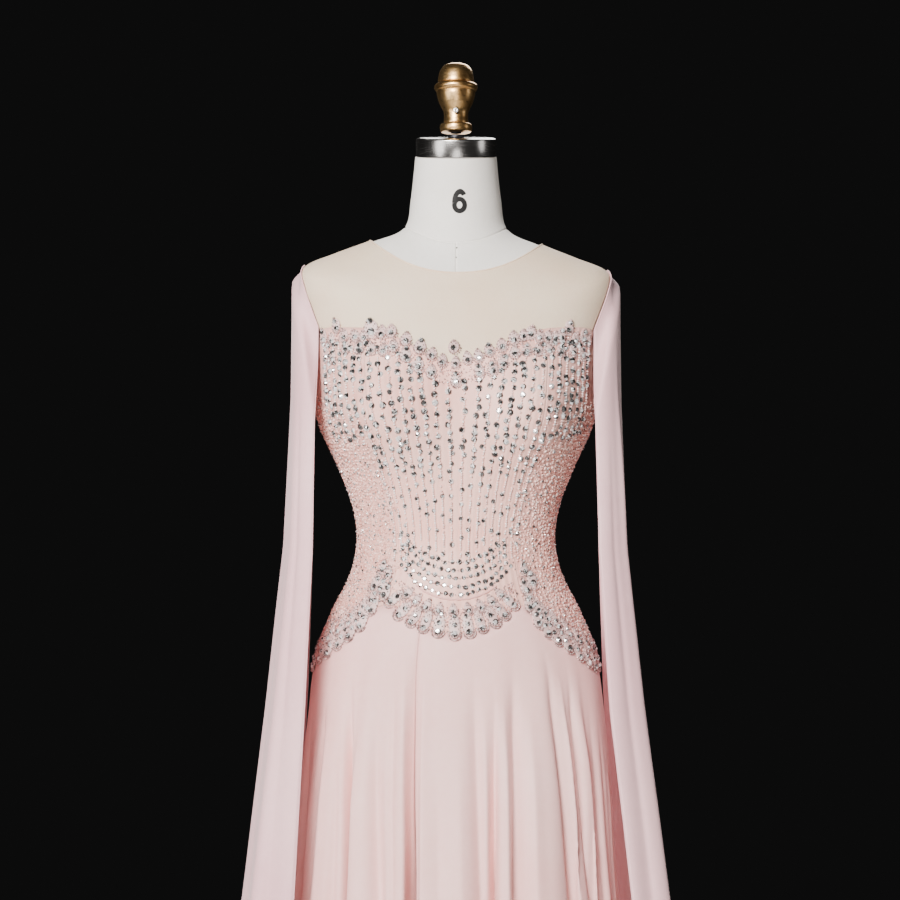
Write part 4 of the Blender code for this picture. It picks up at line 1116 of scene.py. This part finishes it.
def appliqueDrops(name, rows, node):
    pads, seeds, stones = BeadBox(), BeadBox(), BeadBox()
    for angle, height, lean, width, length, count in rows:
        perDegree = 1 / degreesFor(np.array(angle), np.array(height), 1.0)
        body = length - width

        def put(box, s, t, out, size, spin=0.0, long=0.0):
            s, t = turnedIn(np.asarray(s, float), np.asarray(t, float), lean)
            box.add(angle + s / perDegree, height + t, drops["lift"] + out, size, spin, long)

        put(pads, 0.0, body / 2, drops["padOut"], width * drops["padShare"], math.radians(lean),
            length * drops["padShare"])
        around = math.pi * width / 2 + 2 * math.hypot(body, width / 2)
        beads = int(around / drops["seedPitch"])
        turn = np.linspace(0, math.tau, beads, endpoint=False) - math.pi / 2
        high = np.sin(turn)
        s = width / 2 * np.cos(turn) * np.where(high > 0, 1 - drops["pointed"] * high, 1)
        t = np.where(high > 0, (body + width / 2) * high, width / 2 * high)
        put(seeds, s, t, drops["seedOut"], drops["seedRadius"])
        inner = drops["innerShare"]
        put(seeds, s[::2] * inner, t[::2] * inner + drops["innerRise"], drops["innerOut"],
            drops["seedRadius"] * drops["innerSize"])
        first = width * drops["stoneShare"]
        for index in range(count):
            shrink = 1 - drops["stoneShrink"] * index
            put(stones, 0.0, index * width * drops["stoneStep"], drops["stoneOut"], first * shrink,
                luck.uniform(0, 3))
    table = pads.table()
    centre, axes = framesAt(table[0], table[1], table[2], table[4], 0.0)
    size = np.stack((table[3], table[5], np.full(len(table[3]), drops["padRise"])), -1)
    scatter(name + "_backing", "softPad", centre, axes, size, padLook,
            beadTones(len(centre), "softPad", 0.0, 1.0), True, (node,))
    table = seeds.table()
    centre, axes = framesAt(table[0], table[1], table[2], table[4], 0.0)
    scatter(name + "_seeds", "seedBead", centre, axes, table[3], seedLook,
            beadTones(len(centre), "seedBead", 0.0, 1.0), True)
    table = stones.table()
    centre, axes = framesAt(table[0], table[1], table[2], table[4], drops["stoneTilt"])
    # the stones carry painted reflections on their facets
    scatter(name + "_stones", "cutStone", centre, axes, table[3], crystalPaintedGlintLook,
            paintedGlintTones(len(centre), "cutStone"), False)


def mirrored(rows):
    return tuple((-row[0], row[1], -row[2], *row[3:]) for row in rows)


def innerRow(rows, rise, scale):
    # a second row of smaller drops, set between those of the first
    return tuple(((left[0] + right[0]) / 2, (left[1] + right[1]) / 2 + rise, (left[2] + right[2]) / 2,
                  left[3] * scale, left[4] * scale, min(left[5], 2)) for left, right in zip(rows, rows[1:]))


appliqueDrops("sweetheart_drops", drops["sweetheart"] + drops["sweetheartInner"], "sweetheart_trim")
appliqueDrops("waist_fan_drops", drops["fan"] + drops["fanInner"], "waist_fan_trim")
for side, around in (("right", drops["basqueSide"]), ("left", mirrored(drops["basqueSide"]))):
    edgeRow = drops["basque" + side.capitalize()] + around
    second = innerRow(edgeRow, drops["secondRise"], drops["secondScale"])
    rows = edgeRow + second + drops["hip" + side.capitalize()]
    appliqueDrops("basque_drops_" + side, rows, "basque_trim_" + side)
print("applique drops made")


# Stones in columns down the pintucks, close at the bust, sparse at the midriff and close again below
stoneColumns = {
    "pitch": 4.25,
    "lift": 0.0028,
    "bustSize": 0.0041,
    "waistSize": 0.0030,
    "bustSteps": (0.0070, 0.0090, 0.0125),
    "waistSteps": (0.0120, 0.0170, 0.0230),
    "lowSteps": (0.0080, 0.0105, 0.0120),
    "sideFoot": 1.215,
    "ribPitch": 0.0028,
    "ribBead": 0.0015,
    "ribOut": 0.0010,
    "ribWander": 0.12,
    "ribMissing": 0.12,
    "frontFoot": 1.077,
    "footRise": 0.058,
    "topDrop": 0.021,
    "topJitter": 0.004,
    "besideSeam": 3,
    # where the bust's close rows end and how fast, and where the lower close rows begin
    "bustFoot": 1.13,
    "bustFade": 0.10,
    "lowTop": 1.10,
    "lowFade": 0.04,
    "lowShare": 0.75,
    "sizes": (0.80, 1.12),
    "sunk": 0.2,
    "wander": 0.45,
    "missing": 0.06,
    "missingSparse": 0.12,
    "tilt": 0.10,
}


def addStones(name, box):
    table = box.table()
    centre, axes = framesAt(table[0], table[1], table[2], table[4], stoneColumns["tilt"])
    # the stones carry painted reflections on their facets
    scatter(name, "cutStone", centre, axes, table[3], crystalPaintedGlintLook,
            paintedGlintTones(len(centre), "cutStone"), False)


def addSeeds(name, box, finish):
    table = box.table()
    centre, axes = framesAt(table[0], table[1], table[2], table[4], 0.0)
    scatter(name, "seedBead", centre, axes, table[3], finish,
            beadTones(len(centre), "seedBead", 0.0, 1.0), True)


def columnStones(name, start, end):
    box, small = BeadBox(), BeadBox()
    column = stoneColumns
    jitter = column["topJitter"]
    for angle in np.arange(start, end + 0.1, column["pitch"]):
        low = max(float(edgeHeight(bodiceBottom, angle)) + column["footRise"], column["frontFoot"])
        if abs(float(folded180(angle)) - 90) < 90 - gown["princess"] - column["besideSeam"]:
            low = column["sideFoot"]
        height = float(edgeHeight(bodiceTop, angle)) - column["topDrop"] + luck.uniform(-jitter, jitter)
        while height > low:
            bust = float(smooth((height - column["bustFoot"]) / column["bustFade"]))
            lower = float(smooth((column["lowTop"] - height) / column["lowFade"]))
            grown = max(bust, column["lowShare"] * lower)
            size = column["waistSize"] + (column["bustSize"] - column["waistSize"]) * grown
            size *= luck.uniform(*column["sizes"])
            if luck.random() > column["missing"] + column["missingSparse"] * (1 - grown):
                box.add(angle + luck.normal(0, column["wander"]), height,
                        column["lift"] + size * column["sunk"], size, luck.uniform(0, 3))
            steps = "bustSteps" if bust > 0.5 else "lowSteps" if lower > 0.5 else "waistSteps"
            step = luck.choice(column[steps])
            for part in np.arange(0.0, step, column["ribPitch"]):
                if luck.random() > column["ribMissing"]:
                    small.add(angle + luck.normal(0, column["ribWander"]), height - part,
                              gown["bodiceWall"] + column["ribOut"], column["ribBead"])
            height -= step
    addStones(name + "_stones", box)
    addSeeds(name + "_seeds", small, ribLook)


columnStones("center_front", -14.5 * stoneColumns["pitch"], 14.5 * stoneColumns["pitch"])
columnStones("back_right", 125, 176)
columnStones("back_left", 184, 235)
print("stone columns made")


# Arcs of stones over the waist fan, with a pink cord under them
waistArcs = {
    "halfAngle": 31.0,
    "foot": 1.0305,
    "rise": 0.034,
    "pitch": 0.0090,
    "count": 5,
    "stone": 0.0033,
    "stoneSizes": (0.85, 1.15),
    "rowShare": 1.05,
    "wander": 0.2,
    "heightJitter": 0.0008,
    "beadOut": 0.0012,
    "bead": 0.0010,
    "cordPoints": 60,
    "cordOut": 0.0012,
    "cordHalf": 20.0,
    "cordRise": 0.0155,
    "cordRadius": 0.0010,
    "cordFoot": 1.0250,
}


def arcHeight(angle, foot, half, rise):
    return foot + rise * (angle / half) ** 2


def buildWaistArcs():
    box, small = BeadBox(), BeadBox()
    half, rise = waistArcs["halfAngle"], waistArcs["rise"]
    for index in range(waistArcs["count"]):
        foot = waistArcs["foot"] + index * waistArcs["pitch"] * waistArcs["rowShare"]
        pitch = float(degreesFor(np.array(0.0), np.array(foot), waistArcs["pitch"]))
        for angle in np.arange(-half + (index % 2) * pitch / 2, half, pitch):
            place = angle + luck.normal(0, waistArcs["wander"])
            height = float(arcHeight(place, foot, half, rise))
            box.add(place, height + luck.normal(0, waistArcs["heightJitter"]), stoneColumns["lift"],
                    waistArcs["stone"] * luck.uniform(*waistArcs["stoneSizes"]), luck.uniform(0, 3))
            small.add(place + pitch / 2, float(arcHeight(place + pitch / 2, foot, half, rise)),
                      gown["bodiceWall"] + waistArcs["beadOut"], waistArcs["bead"])
    addStones("waist_arc_stones", box)
    addSeeds("waist_arc_seeds", small, seedLook)
    reach = waistArcs["cordHalf"]
    angle = np.linspace(-reach, reach, waistArcs["cordPoints"])
    height = arcHeight(angle, waistArcs["cordFoot"], reach, waistArcs["cordRise"])
    out = np.full(angle.shape, gown["bodiceWall"] + waistArcs["cordOut"])
    points = gownAt(levelAt(angle, height), angle, out)
    tubeAlong("waist_arc_cord", points, waistArcs["cordRadius"], cordLook)


buildWaistArcs()
print("waist arcs made")


# Seed beads crusted between the drops
crust = {
    "pitch": 0.0027,
    "radius": 0.00115,
    "sizes": (0.7, 1.2),
    "rowShare": 0.87,
    "wander": 0.3,
    "heightJitter": 0.0006,
    "out": 0.0004,
    "outJitter": 0.0012,
    "silverShare": 0.35,
    # edge, start angle, end angle, how far above the edge it starts and ends, share kept
    "bands": {
        "sweetheart_crust": (bodiceTop, -61, 61, -0.027, -0.006, 0.50),
        "fan_crust": (bodiceBottom, -30, 30, 0.000, 0.030, 0.70),
        "basque_crust_right": (bodiceBottom, 36, 144, 0.000, 0.046, 0.50),
        "basque_crust_left": (bodiceBottom, -144, -42, 0.000, 0.046, 0.50),
    },
}


def distanceRound(angle, height):
    # how far along the gown each angle of a row lies from its first
    line = foldedAt(levelAt(angle, height), angle)
    return np.concatenate(((0,), np.cumsum(np.linalg.norm(np.diff(line, axis=0), axis=1))))


def crustBand(name, edge, start, end, foot, top, share):
    fine = np.linspace(start, end, 240)
    gone = distanceRound(fine, edgeHeight(edge, fine))
    angles, heights = [], []
    for rise in np.arange(foot, top, crust["pitch"] * crust["rowShare"]):
        spots = np.arange(0, gone[-1], crust["pitch"]) + luck.uniform(0, crust["pitch"])
        spots = spots + luck.normal(0, crust["wander"] * crust["pitch"], len(spots))
        kept = spots[luck.random(len(spots)) < share]
        angle = np.interp(kept, gone, fine)
        angles.append(angle)
        jitter = luck.normal(0, crust["heightJitter"], len(angle))
        heights.append(edgeHeight(edge, angle) + rise + jitter)
    angle, height = np.concatenate(angles), np.concatenate(heights)
    count = len(angle)
    out = gown["bodiceWall"] + crust["out"] + luck.uniform(0, crust["outJitter"], count)
    centre, axes = framesAt(angle, height, out, np.zeros(count), 0.0)
    size = crust["radius"] * luck.uniform(*crust["sizes"], count)
    silver = luck.random(count) < crust["silverShare"]
    for label, chosen, look in (("_silver", silver, seedLook), ("_pink", ~silver, crustLook)):
        scatter(name + label, "seedBead", centre[chosen], axes[chosen], size[chosen], look,
                beadTones(int(chosen.sum()), "seedBead", 0.0, 1.0), True)


for name, band in crust["bands"].items():
    crustBand(name, *band)
print("crust made")


# Pebble beads packed over the side and back panels
pebbles = {
    "pitch": 0.0040,
    "backPitch": 0.0052,
    "lift": 0.0021,
    "rowJitter": 0.0012,
    "bustTop": 1.270,
    "bustFull": 1.215,
    "silverShare": 0.22,
    "silverRadius": (0.0010, 0.0018),
    "silverOut": 0.0012,
    "silverTilt": 0.30,
    "lowest": 0.94,
    "highest": 1.345,
    "rowShare": 0.866,
    "wander": 0.30,
    "margin": 0.004,
    "bustEase": 0.0009,
    "bustEaseFrom": 60,
    "outJitter": 0.0008,
    "sizes": (0.60, 1.20),
    "tilt": 0.25,
    # first and last angle, where the cover begins and is full from the centre front, pitch
    "panels": {
        "side_pebbles_left": (-89.5, -30, 29, 42, "pitch"),
        "side_pebbles_right": (30, 89.5, 29, 42, "pitch"),
        "back_pebbles_right": (90.5, 179.5, 20, 30, "backPitch"),
        "back_pebbles_left": (180.5, 269.5, 20, 30, "backPitch"),
    },
}


def packedPebbles(name, start, end, thinStart, thinEnd, pitch):
    angles, heights = [], []
    fine = np.linspace(start, end, 160)
    rows = np.arange(pebbles["lowest"], pebbles["highest"], pitch * pebbles["rowShare"])
    for index, row in enumerate(rows):
        gone = distanceRound(fine, row)
        spots = np.arange(pitch * (0.5 if index % 2 else 0.1), gone[-1], pitch)
        spots = spots + luck.normal(0, pebbles["wander"] * pitch, len(spots))
        angle = np.interp(spots, gone, fine)
        low = edgeHeight(bodiceBottom, angle) + pebbles["margin"]
        high = edgeHeight(bodiceTop, angle) - pebbles["margin"]
        full = smooth((folded180(angle) - thinStart) / (thinEnd - thinStart))
        if start < 90:
            eased = pebbles["bustTop"] + pebbles["bustEase"] * (folded180(angle) - pebbles["bustEaseFrom"])
            full = full * smooth((eased - row) / (pebbles["bustTop"] - pebbles["bustFull"]))
        kept = (low < row) & (row < high) & (luck.random(len(angle)) < full)
        angles.append(angle[kept])
        heights.append(row + luck.normal(0, pebbles["rowJitter"], kept.sum()))
    angle, height = np.concatenate(angles), np.concatenate(heights)
    count = len(angle)
    out = pebbles["lift"] + luck.uniform(0, pebbles["outJitter"], count)
    size = 0.5 * pitch * luck.uniform(*pebbles["sizes"], count)
    centre, axes = framesAt(angle, height, out, luck.uniform(0, 3, count), pebbles["tilt"])
    scatter(name, "pebble", centre, axes, size, pebbleLook,
            beadTones(count, "pebble", 0.0, 1.0), True)
    silver = luck.random(count) < pebbles["silverShare"]
    centre, axes = framesAt(angle[silver], height[silver], out[silver] + pebbles["silverOut"],
                            luck.uniform(0, 3, silver.sum()), pebbles["silverTilt"])
    size = luck.uniform(*pebbles["silverRadius"], silver.sum())
    # the small stones carry painted reflections on their facets
    scatter(name + "_silver", "cutStone", centre, axes, size, crystalPaintedGlintLook,
            paintedGlintTones(int(silver.sum()), "cutStone"), False)


for name, (start, end, thinStart, thinEnd, pitch) in pebbles["panels"].items():
    packedPebbles(name, start, end, thinStart, thinEnd, pebbles[pitch])
print("pebbles made")


# The form: torso and neck, smooth and whole, cut on the tilt of the neck plate
form = {
    "seamDeep": 0.0012,
    "seamWide": 0.5,
    "collarRise": 0.05,
    "collarWide": 0.03,
    "slimFade": 1.5,
    "columns": 120,
    "rows": 110,
    "neckY": -0.008,
    "neckTop": 1.5560,
    "tilt": math.radians(11.5),
    "capRadius": 0.0485,
    "capHigh": 0.023,
    "seam": 0.0003,
}


def formAt(level, angle):
    return skinAt(formTable, level, angle, gown["formBust"])


def formPoint(level, angle):
    # the form's skin, with a seam down the front and one round the foot of the neck
    slim = gown["formSlim"] * smooth((formLevel["shoulderTip"] - level) / form["slimFade"])
    low = 1 - smooth((level - formLevel["neckBase"]) / 0.1)
    dip = form["seamDeep"] * low * np.exp(-(((angle + 180) % 360 - 180) / form["seamWide"]) ** 2)
    offCollar = level - formLevel["neckBase"] - form["collarRise"]
    dip = dip + form["seamDeep"] * np.exp(-(offCollar / form["collarWide"]) ** 2)
    away = normalAt(formAt, level, angle, gown["slopeStep"])
    return formAt(level, angle) - away * (slim + dip)[..., None]


def buildForm():
    # columns and rows lie close together at the two seams
    close = np.array((0.2, 0.4, 0.6, 0.9, 1.3))
    seamLevel = formLevel["neckBase"] + form["collarRise"]
    level = np.linspace(0, formLevel["neckTop"], form["rows"])
    closeLevel = seamLevel + form["collarWide"] * np.linspace(-2, 2, 13)
    level = np.unique(np.concatenate((level, closeLevel)))[:, None]
    angle = np.linspace(0, 360, form["columns"] + 1)
    angle = np.unique(np.concatenate((angle, close, 360 - close)))[None, :]
    level, angle = np.broadcast_arrays(level, angle)
    points = formPoint(level, angle)
    mesh, _, _ = gridMesh("form_cover", points)
    bm = bmesh.new()
    bm.from_mesh(mesh)
    bmesh.ops.remove_doubles(bm, verts=bm.verts[:], dist=0.00001)
    plateUp = Matrix.Rotation(form["tilt"], 3, "X") @ Vector((0, 0, 1))
    bmesh.ops.bisect_plane(bm, geom=bm.verts[:] + bm.edges[:] + bm.faces[:], dist=0.00001,
                           plane_co=(0, form["neckY"], form["neckTop"]), plane_no=plateUp, clear_outer=True)
    rims = [edge for edge in bm.edges if edge.is_boundary]
    bmesh.ops.holes_fill(bm, edges=rims, sides=0)
    bmesh.ops.recalc_face_normals(bm, faces=bm.faces[:])
    bm.to_mesh(mesh)
    bm.free()
    mesh.shade_smooth()
    mesh.set_sharp_from_angle(angle=math.radians(50))
    addPiece("form_cover", mesh, cloth["form"], ("form_body",))


buildForm()
print("form made")


# The neck plate, the turned knob and the stand
knob = {
    "segments": 72,
    "screwZ": 1.6085,
    "screwSeat": 0.0163,
    "screwRadius": 0.0035,
    "nutRadius": 0.0105,
    "nutHigh": 0.0035,
    "rodRadius": 0.0065,
    "rimInset": 0.004,
    "rimDrop": 0.0015,
    # the screw's head: share of its radius, height
    "screwHead": (
        (0, 0.0022), (0.35, 0.0022), (0.4, 0.0030), (0.85, 0.0029), (1.0, 0.0022), (1.0, 0), (0, 0)),
    # how far the corners are eased
    "eased": {"cap": 0.0012, "nut": 0.0006, "rod": 0.0004, "knob": 0.0012, "screw": 0.0003},
    # radius and height of each corner, from the top down
    "profile": (
        (0.0000, 1.6684), (0.0090, 1.6680), (0.0140, 1.6661), (0.0165, 1.6640), (0.0196, 1.6593),
        (0.0210, 1.6544), (0.0218, 1.6490), (0.0220, 1.6455), (0.0214, 1.6446), (0.0236, 1.6437),
        (0.0262, 1.6415), (0.0265, 1.6385), (0.0252, 1.6358), (0.0234, 1.6345), (0.0232, 1.6303),
        (0.0220, 1.6254), (0.0205, 1.6206), (0.0180, 1.6158), (0.0156, 1.6112), (0.0147, 1.6080),
        (0.0145, 1.6020), (0.0150, 1.5968), (0.0146, 1.5955), (0.0188, 1.5946), (0.0197, 1.5925),
        (0.0195, 1.5885), (0.0182, 1.5852), (0.0000, 1.5850)),
}


def spun(name, profile, axisPoint, matrix, finish, replaced, sharp=35):
    # a profile of (radius, height) turned about its own upright axis
    bm = bmesh.new()
    verts = [bm.verts.new((radius, 0, height)) for radius, height in profile]
    edges = [bm.edges.new(pair) for pair in zip(verts, verts[1:])]
    bmesh.ops.spin(bm, geom=verts + edges, cent=(0, 0, 0), axis=(0, 0, 1), angle=math.tau,
                   steps=knob["segments"], use_merge=True)
    bmesh.ops.remove_doubles(bm, verts=bm.verts[:], dist=0.00002)
    bmesh.ops.recalc_face_normals(bm, faces=bm.faces[:])
    bmesh.ops.transform(bm, matrix=matrix @ Matrix.Translation(axisPoint), verts=bm.verts[:])
    mesh = bpy.data.meshes.new(name)
    bm.to_mesh(mesh)
    bm.free()
    mesh.shade_smooth()
    mesh.set_sharp_from_angle(angle=math.radians(sharp))
    return addPiece(name, mesh, finish, replaced)


def easedCorners(profile, radius, steps=3):
    # each corner of a profile becomes a short curve
    points = [Vector(row) for row in profile]
    eased = [points[0]]
    for before, corner, after in zip(points, points[1:], points[2:]):
        reach = min(radius, (corner - before).length * 0.45, (after - corner).length * 0.45)
        start = corner + (before - corner).normalized() * reach
        end = corner + (after - corner).normalized() * reach
        for step in range(steps + 1):
            share = step / steps
            first = start.lerp(corner, share)
            eased.append(first.lerp(corner.lerp(end, share), share))
    eased.append(points[-1])
    return [tuple(point) for point in eased]


def buildNeckMetal():
    eased = knob["eased"]
    tilt = Matrix.Translation((0, form["neckY"], form["neckTop"])) @ Matrix.Rotation(form["tilt"], 4, "X")
    seam, high, radius = form["seam"], form["capHigh"], form["capRadius"]
    rim = seam + high
    cap = ((0, rim), (radius - knob["rimInset"], rim), (radius, rim - knob["rimDrop"]), (radius, seam),
           (0, seam))
    spun("neck_cap_turned", easedCorners(cap, eased["cap"]), (0, 0, 0), tilt, metal["steel"],
         ("neck_cap",))
    nutFoot = high + 2 * seam
    nutTop = nutFoot + knob["nutHigh"]
    nut = ((0, nutTop), (knob["nutRadius"], nutTop), (knob["nutRadius"], nutFoot), (0, nutFoot))
    spun("finial_nut_turned", easedCorners(nut, eased["nut"]), (0, 0, 0), tilt, metal["stand"],
         ("finial_nut",))
    top = tilt @ Vector((0, 0, nutTop))
    foot = knob["profile"][-1][1]
    rodFoot = top.z + math.tan(form["tilt"]) * knob["rodRadius"] + seam
    rod = ((0, foot - seam), (knob["rodRadius"], foot - seam), (knob["rodRadius"], rodFoot), (0, rodFoot))
    axis = (0, top.y, 0)
    upright = Matrix.Identity(4)
    spun("finial_rod_turned", easedCorners(rod, eased["rod"]), axis, upright, metal["stand"],
         ("finial_rod",))
    spun("finial_turned", easedCorners(knob["profile"], eased["knob"]), axis, upright, metal["brass"],
         ("finial",))
    seat = Matrix.Translation((0, top.y - knob["screwSeat"], knob["screwZ"]))
    screw = seat @ Matrix.Rotation(math.radians(90), 4, "X")
    head = [(knob["screwRadius"] * share, rise) for share, rise in knob["screwHead"]]
    spun("finial_screw_head", easedCorners(head, eased["screw"]), (0, 0, 0), screw, metal["steel"],
         ("finial_screw",))


buildNeckMetal()
print("neck metal made")


# The size number on the neck, printed as a ribbon of even width
number = {
    "x": 0.0040,
    "z": 1.4950,
    "high": 0.0285,
    "wide": 0.0180,
    "stroke": 0.0058,
    "out": 0.0003,
    # stem and bowl (middle, half width, half height) as shares of the figure's half width and height
    "stem": (
        (0.86, 0.68), (0.62, 0.90), (0.18, 1.00), (-0.32, 0.92), (-0.70, 0.66), (-0.92, 0.28),
        (-1.0, -0.15)),
    "bowl": (0.0, -0.38, 1.0, 0.62),
}


def buildNumber():
    middleX, middleY, wide, high = number["bowl"]
    turn = np.linspace(math.radians(165), math.radians(525), 72)
    bowl = np.stack((middleX + wide * np.cos(turn), middleY + high * np.sin(turn)), -1)
    knots = np.array(number["stem"])
    fine = np.linspace(0, len(knots) - 1, 48)
    stem = np.stack([spreadAt(knots[:, axis], fine) for axis in (0, 1)], -1)
    half = np.array((number["wide"], number["high"])) / 2 - number["stroke"] / 2
    bm = bmesh.new()
    for part in (stem, bowl):
        path = part * half
        ahead = np.gradient(path, axis=0)
        across = np.stack((-ahead[:, 1], ahead[:, 0]), -1)
        across = across / np.linalg.norm(across, axis=1, keepdims=True) * number["stroke"] / 2
        rows = []
        for share in (-1.0, -0.33, 0.33, 1.0):
            side = path + across * share
            spots = [neckSurface(number["x"] + x, number["z"] + y, number["out"]) for x, y in side]
            rows.append([bm.verts.new(spot) for spot in spots])
        for low, high in zip(rows, rows[1:]):
            for index in range(len(low) - 1):
                bm.faces.new((low[index], low[index + 1], high[index + 1], high[index]))
    bmesh.ops.recalc_face_normals(bm, faces=bm.faces[:])
    mesh = bpy.data.meshes.new("neck_number_print")
    bm.to_mesh(mesh)
    bm.free()
    addPiece("neck_number_print", mesh, inkLook)


def spreadAt(values, place):
    # a smooth line through evenly spaced values
    index = np.clip(np.floor(place).astype(int), 0, len(values) - 2)
    share = place - index
    before, start = values[np.maximum(index - 1, 0)], values[index]
    end, after = values[index + 1], values[np.minimum(index + 2, len(values) - 1)]
    bend = 2 * before - 5 * start + 4 * end - after
    turn = 3 * (start - end) + after - before
    return start + 0.5 * share * (end - before + share * (bend + share * turn))


# Two pin heads on the front seam, below the foot of the neck
pins = {
    "places": ((0.0008, 1.4395), (0.0, 1.4275)),
    "radii": (0.0011, 0.0009),
    "out": 0.0002,
}


def buildPins():
    spots = np.array([tuple(neckSurface(x, z, pins["out"])) for x, z in pins["places"]])
    axes = np.repeat(np.eye(3)[None], len(spots), axis=0)
    scatter("neck_pins", "seedBead", spots, axes, pins["radii"], inkLook,
            beadTones(len(spots), "seedBead", 0.0, 0.3), True)


def neckSurface(x, z, out):
    # the point of the neck's front at a width and height, found by small steps
    level, angle = 14.5, 0.0
    for _ in range(30):
        point = formPoint(np.array(level), np.array(angle))
        level += (z - point[2]) / 0.045  # about the metres in a level
        angle += (x - point[0]) / 0.0011  # about the metres in a degree
    away = normalAt(formAt, np.array(level), np.array(angle), gown["slopeStep"])
    return Vector(point + away * out)


buildNumber()
buildPins()
print("number and pins made")


# Floor, lights and camera
studio = {
    "camera": (-0.0073, -2.1, 1.2),
    "focalPixels": 1721.0,
    "imagePixels": 900.0,
    "sensor": 36.0,
    "floorRadius": 2.0,
    "world": (0.006, 0.006, 0.006, 1.0),
    # place, aim, size, power, colour
    "lights": {
        "key": ((-0.95, -2.8, 2.2), (0, 0, 1.1), 1.2, 222.0, (1.0, 0.97, 0.94)),
        "left": ((-2.2, -2.0, 1.2), (0, 0, 1.0), 1.4, 24.0, (1.0, 0.97, 0.95)),
        "right": ((2.7, -0.6, 1.6), (0, 0, 1.1), 0.8, 4.0, (1.0, 0.98, 0.97)),
        "low": ((0.1, -2.7, 0.4), (0, 0, 0.9), 1.0, 11.0, (1.0, 0.96, 0.93)),
        "back": ((0.5, 2.4, 3.5), (0, 0, 1.0), 2.0, 80.0, (1.0, 0.98, 0.96)),
    },
}


def aimed(thing, place, target):
    thing.location = place
    thing.rotation_euler = (Vector(target) - Vector(place)).to_track_quat("-Z", "Y").to_euler()


def buildStudio():
    bm = bmesh.new()
    bmesh.ops.create_circle(bm, cap_ends=True, segments=96, radius=studio["floorRadius"])
    mesh = bpy.data.meshes.new("floor")
    bm.to_mesh(mesh)
    bm.free()
    floor = bpy.data.objects.new("floor", mesh)
    bpy.context.scene.collection.objects.link(floor)
    mesh.materials.append(floorLook)
    for name, (place, target, size, power, colour) in studio["lights"].items():
        light = bpy.data.lights.new(name, "AREA")
        light.shape = "DISK"
        light.size = size
        light.energy = power
        light.color = colour
        lamp = bpy.data.objects.new(name, light)
        lamp.visible_camera = False
        bpy.context.scene.collection.objects.link(lamp)
        aimed(lamp, place, target)
    world = bpy.data.worlds.new("studio")
    world.use_nodes = True
    world.node_tree.nodes["Background"].inputs["Color"].default_value = studio["world"]
    bpy.context.scene.world = world
    camera = bpy.data.cameras.new("photoView")
    camera.sensor_width = studio["sensor"]
    camera.lens = studio["sensor"] * studio["focalPixels"] / studio["imagePixels"]
    eye = bpy.data.objects.new("photoView", camera)
    bpy.context.scene.collection.objects.link(eye)
    eye.location = studio["camera"]
    eye.rotation_euler = (math.radians(90), 0, 0)
    bpy.context.scene.camera = eye


buildStudio()
print("studio made")

# The stand keeps its solids, in its own metal
for name in ("stand_base", "stand_pole"):
    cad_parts[name].material_slots[0].material = metal["stand"]
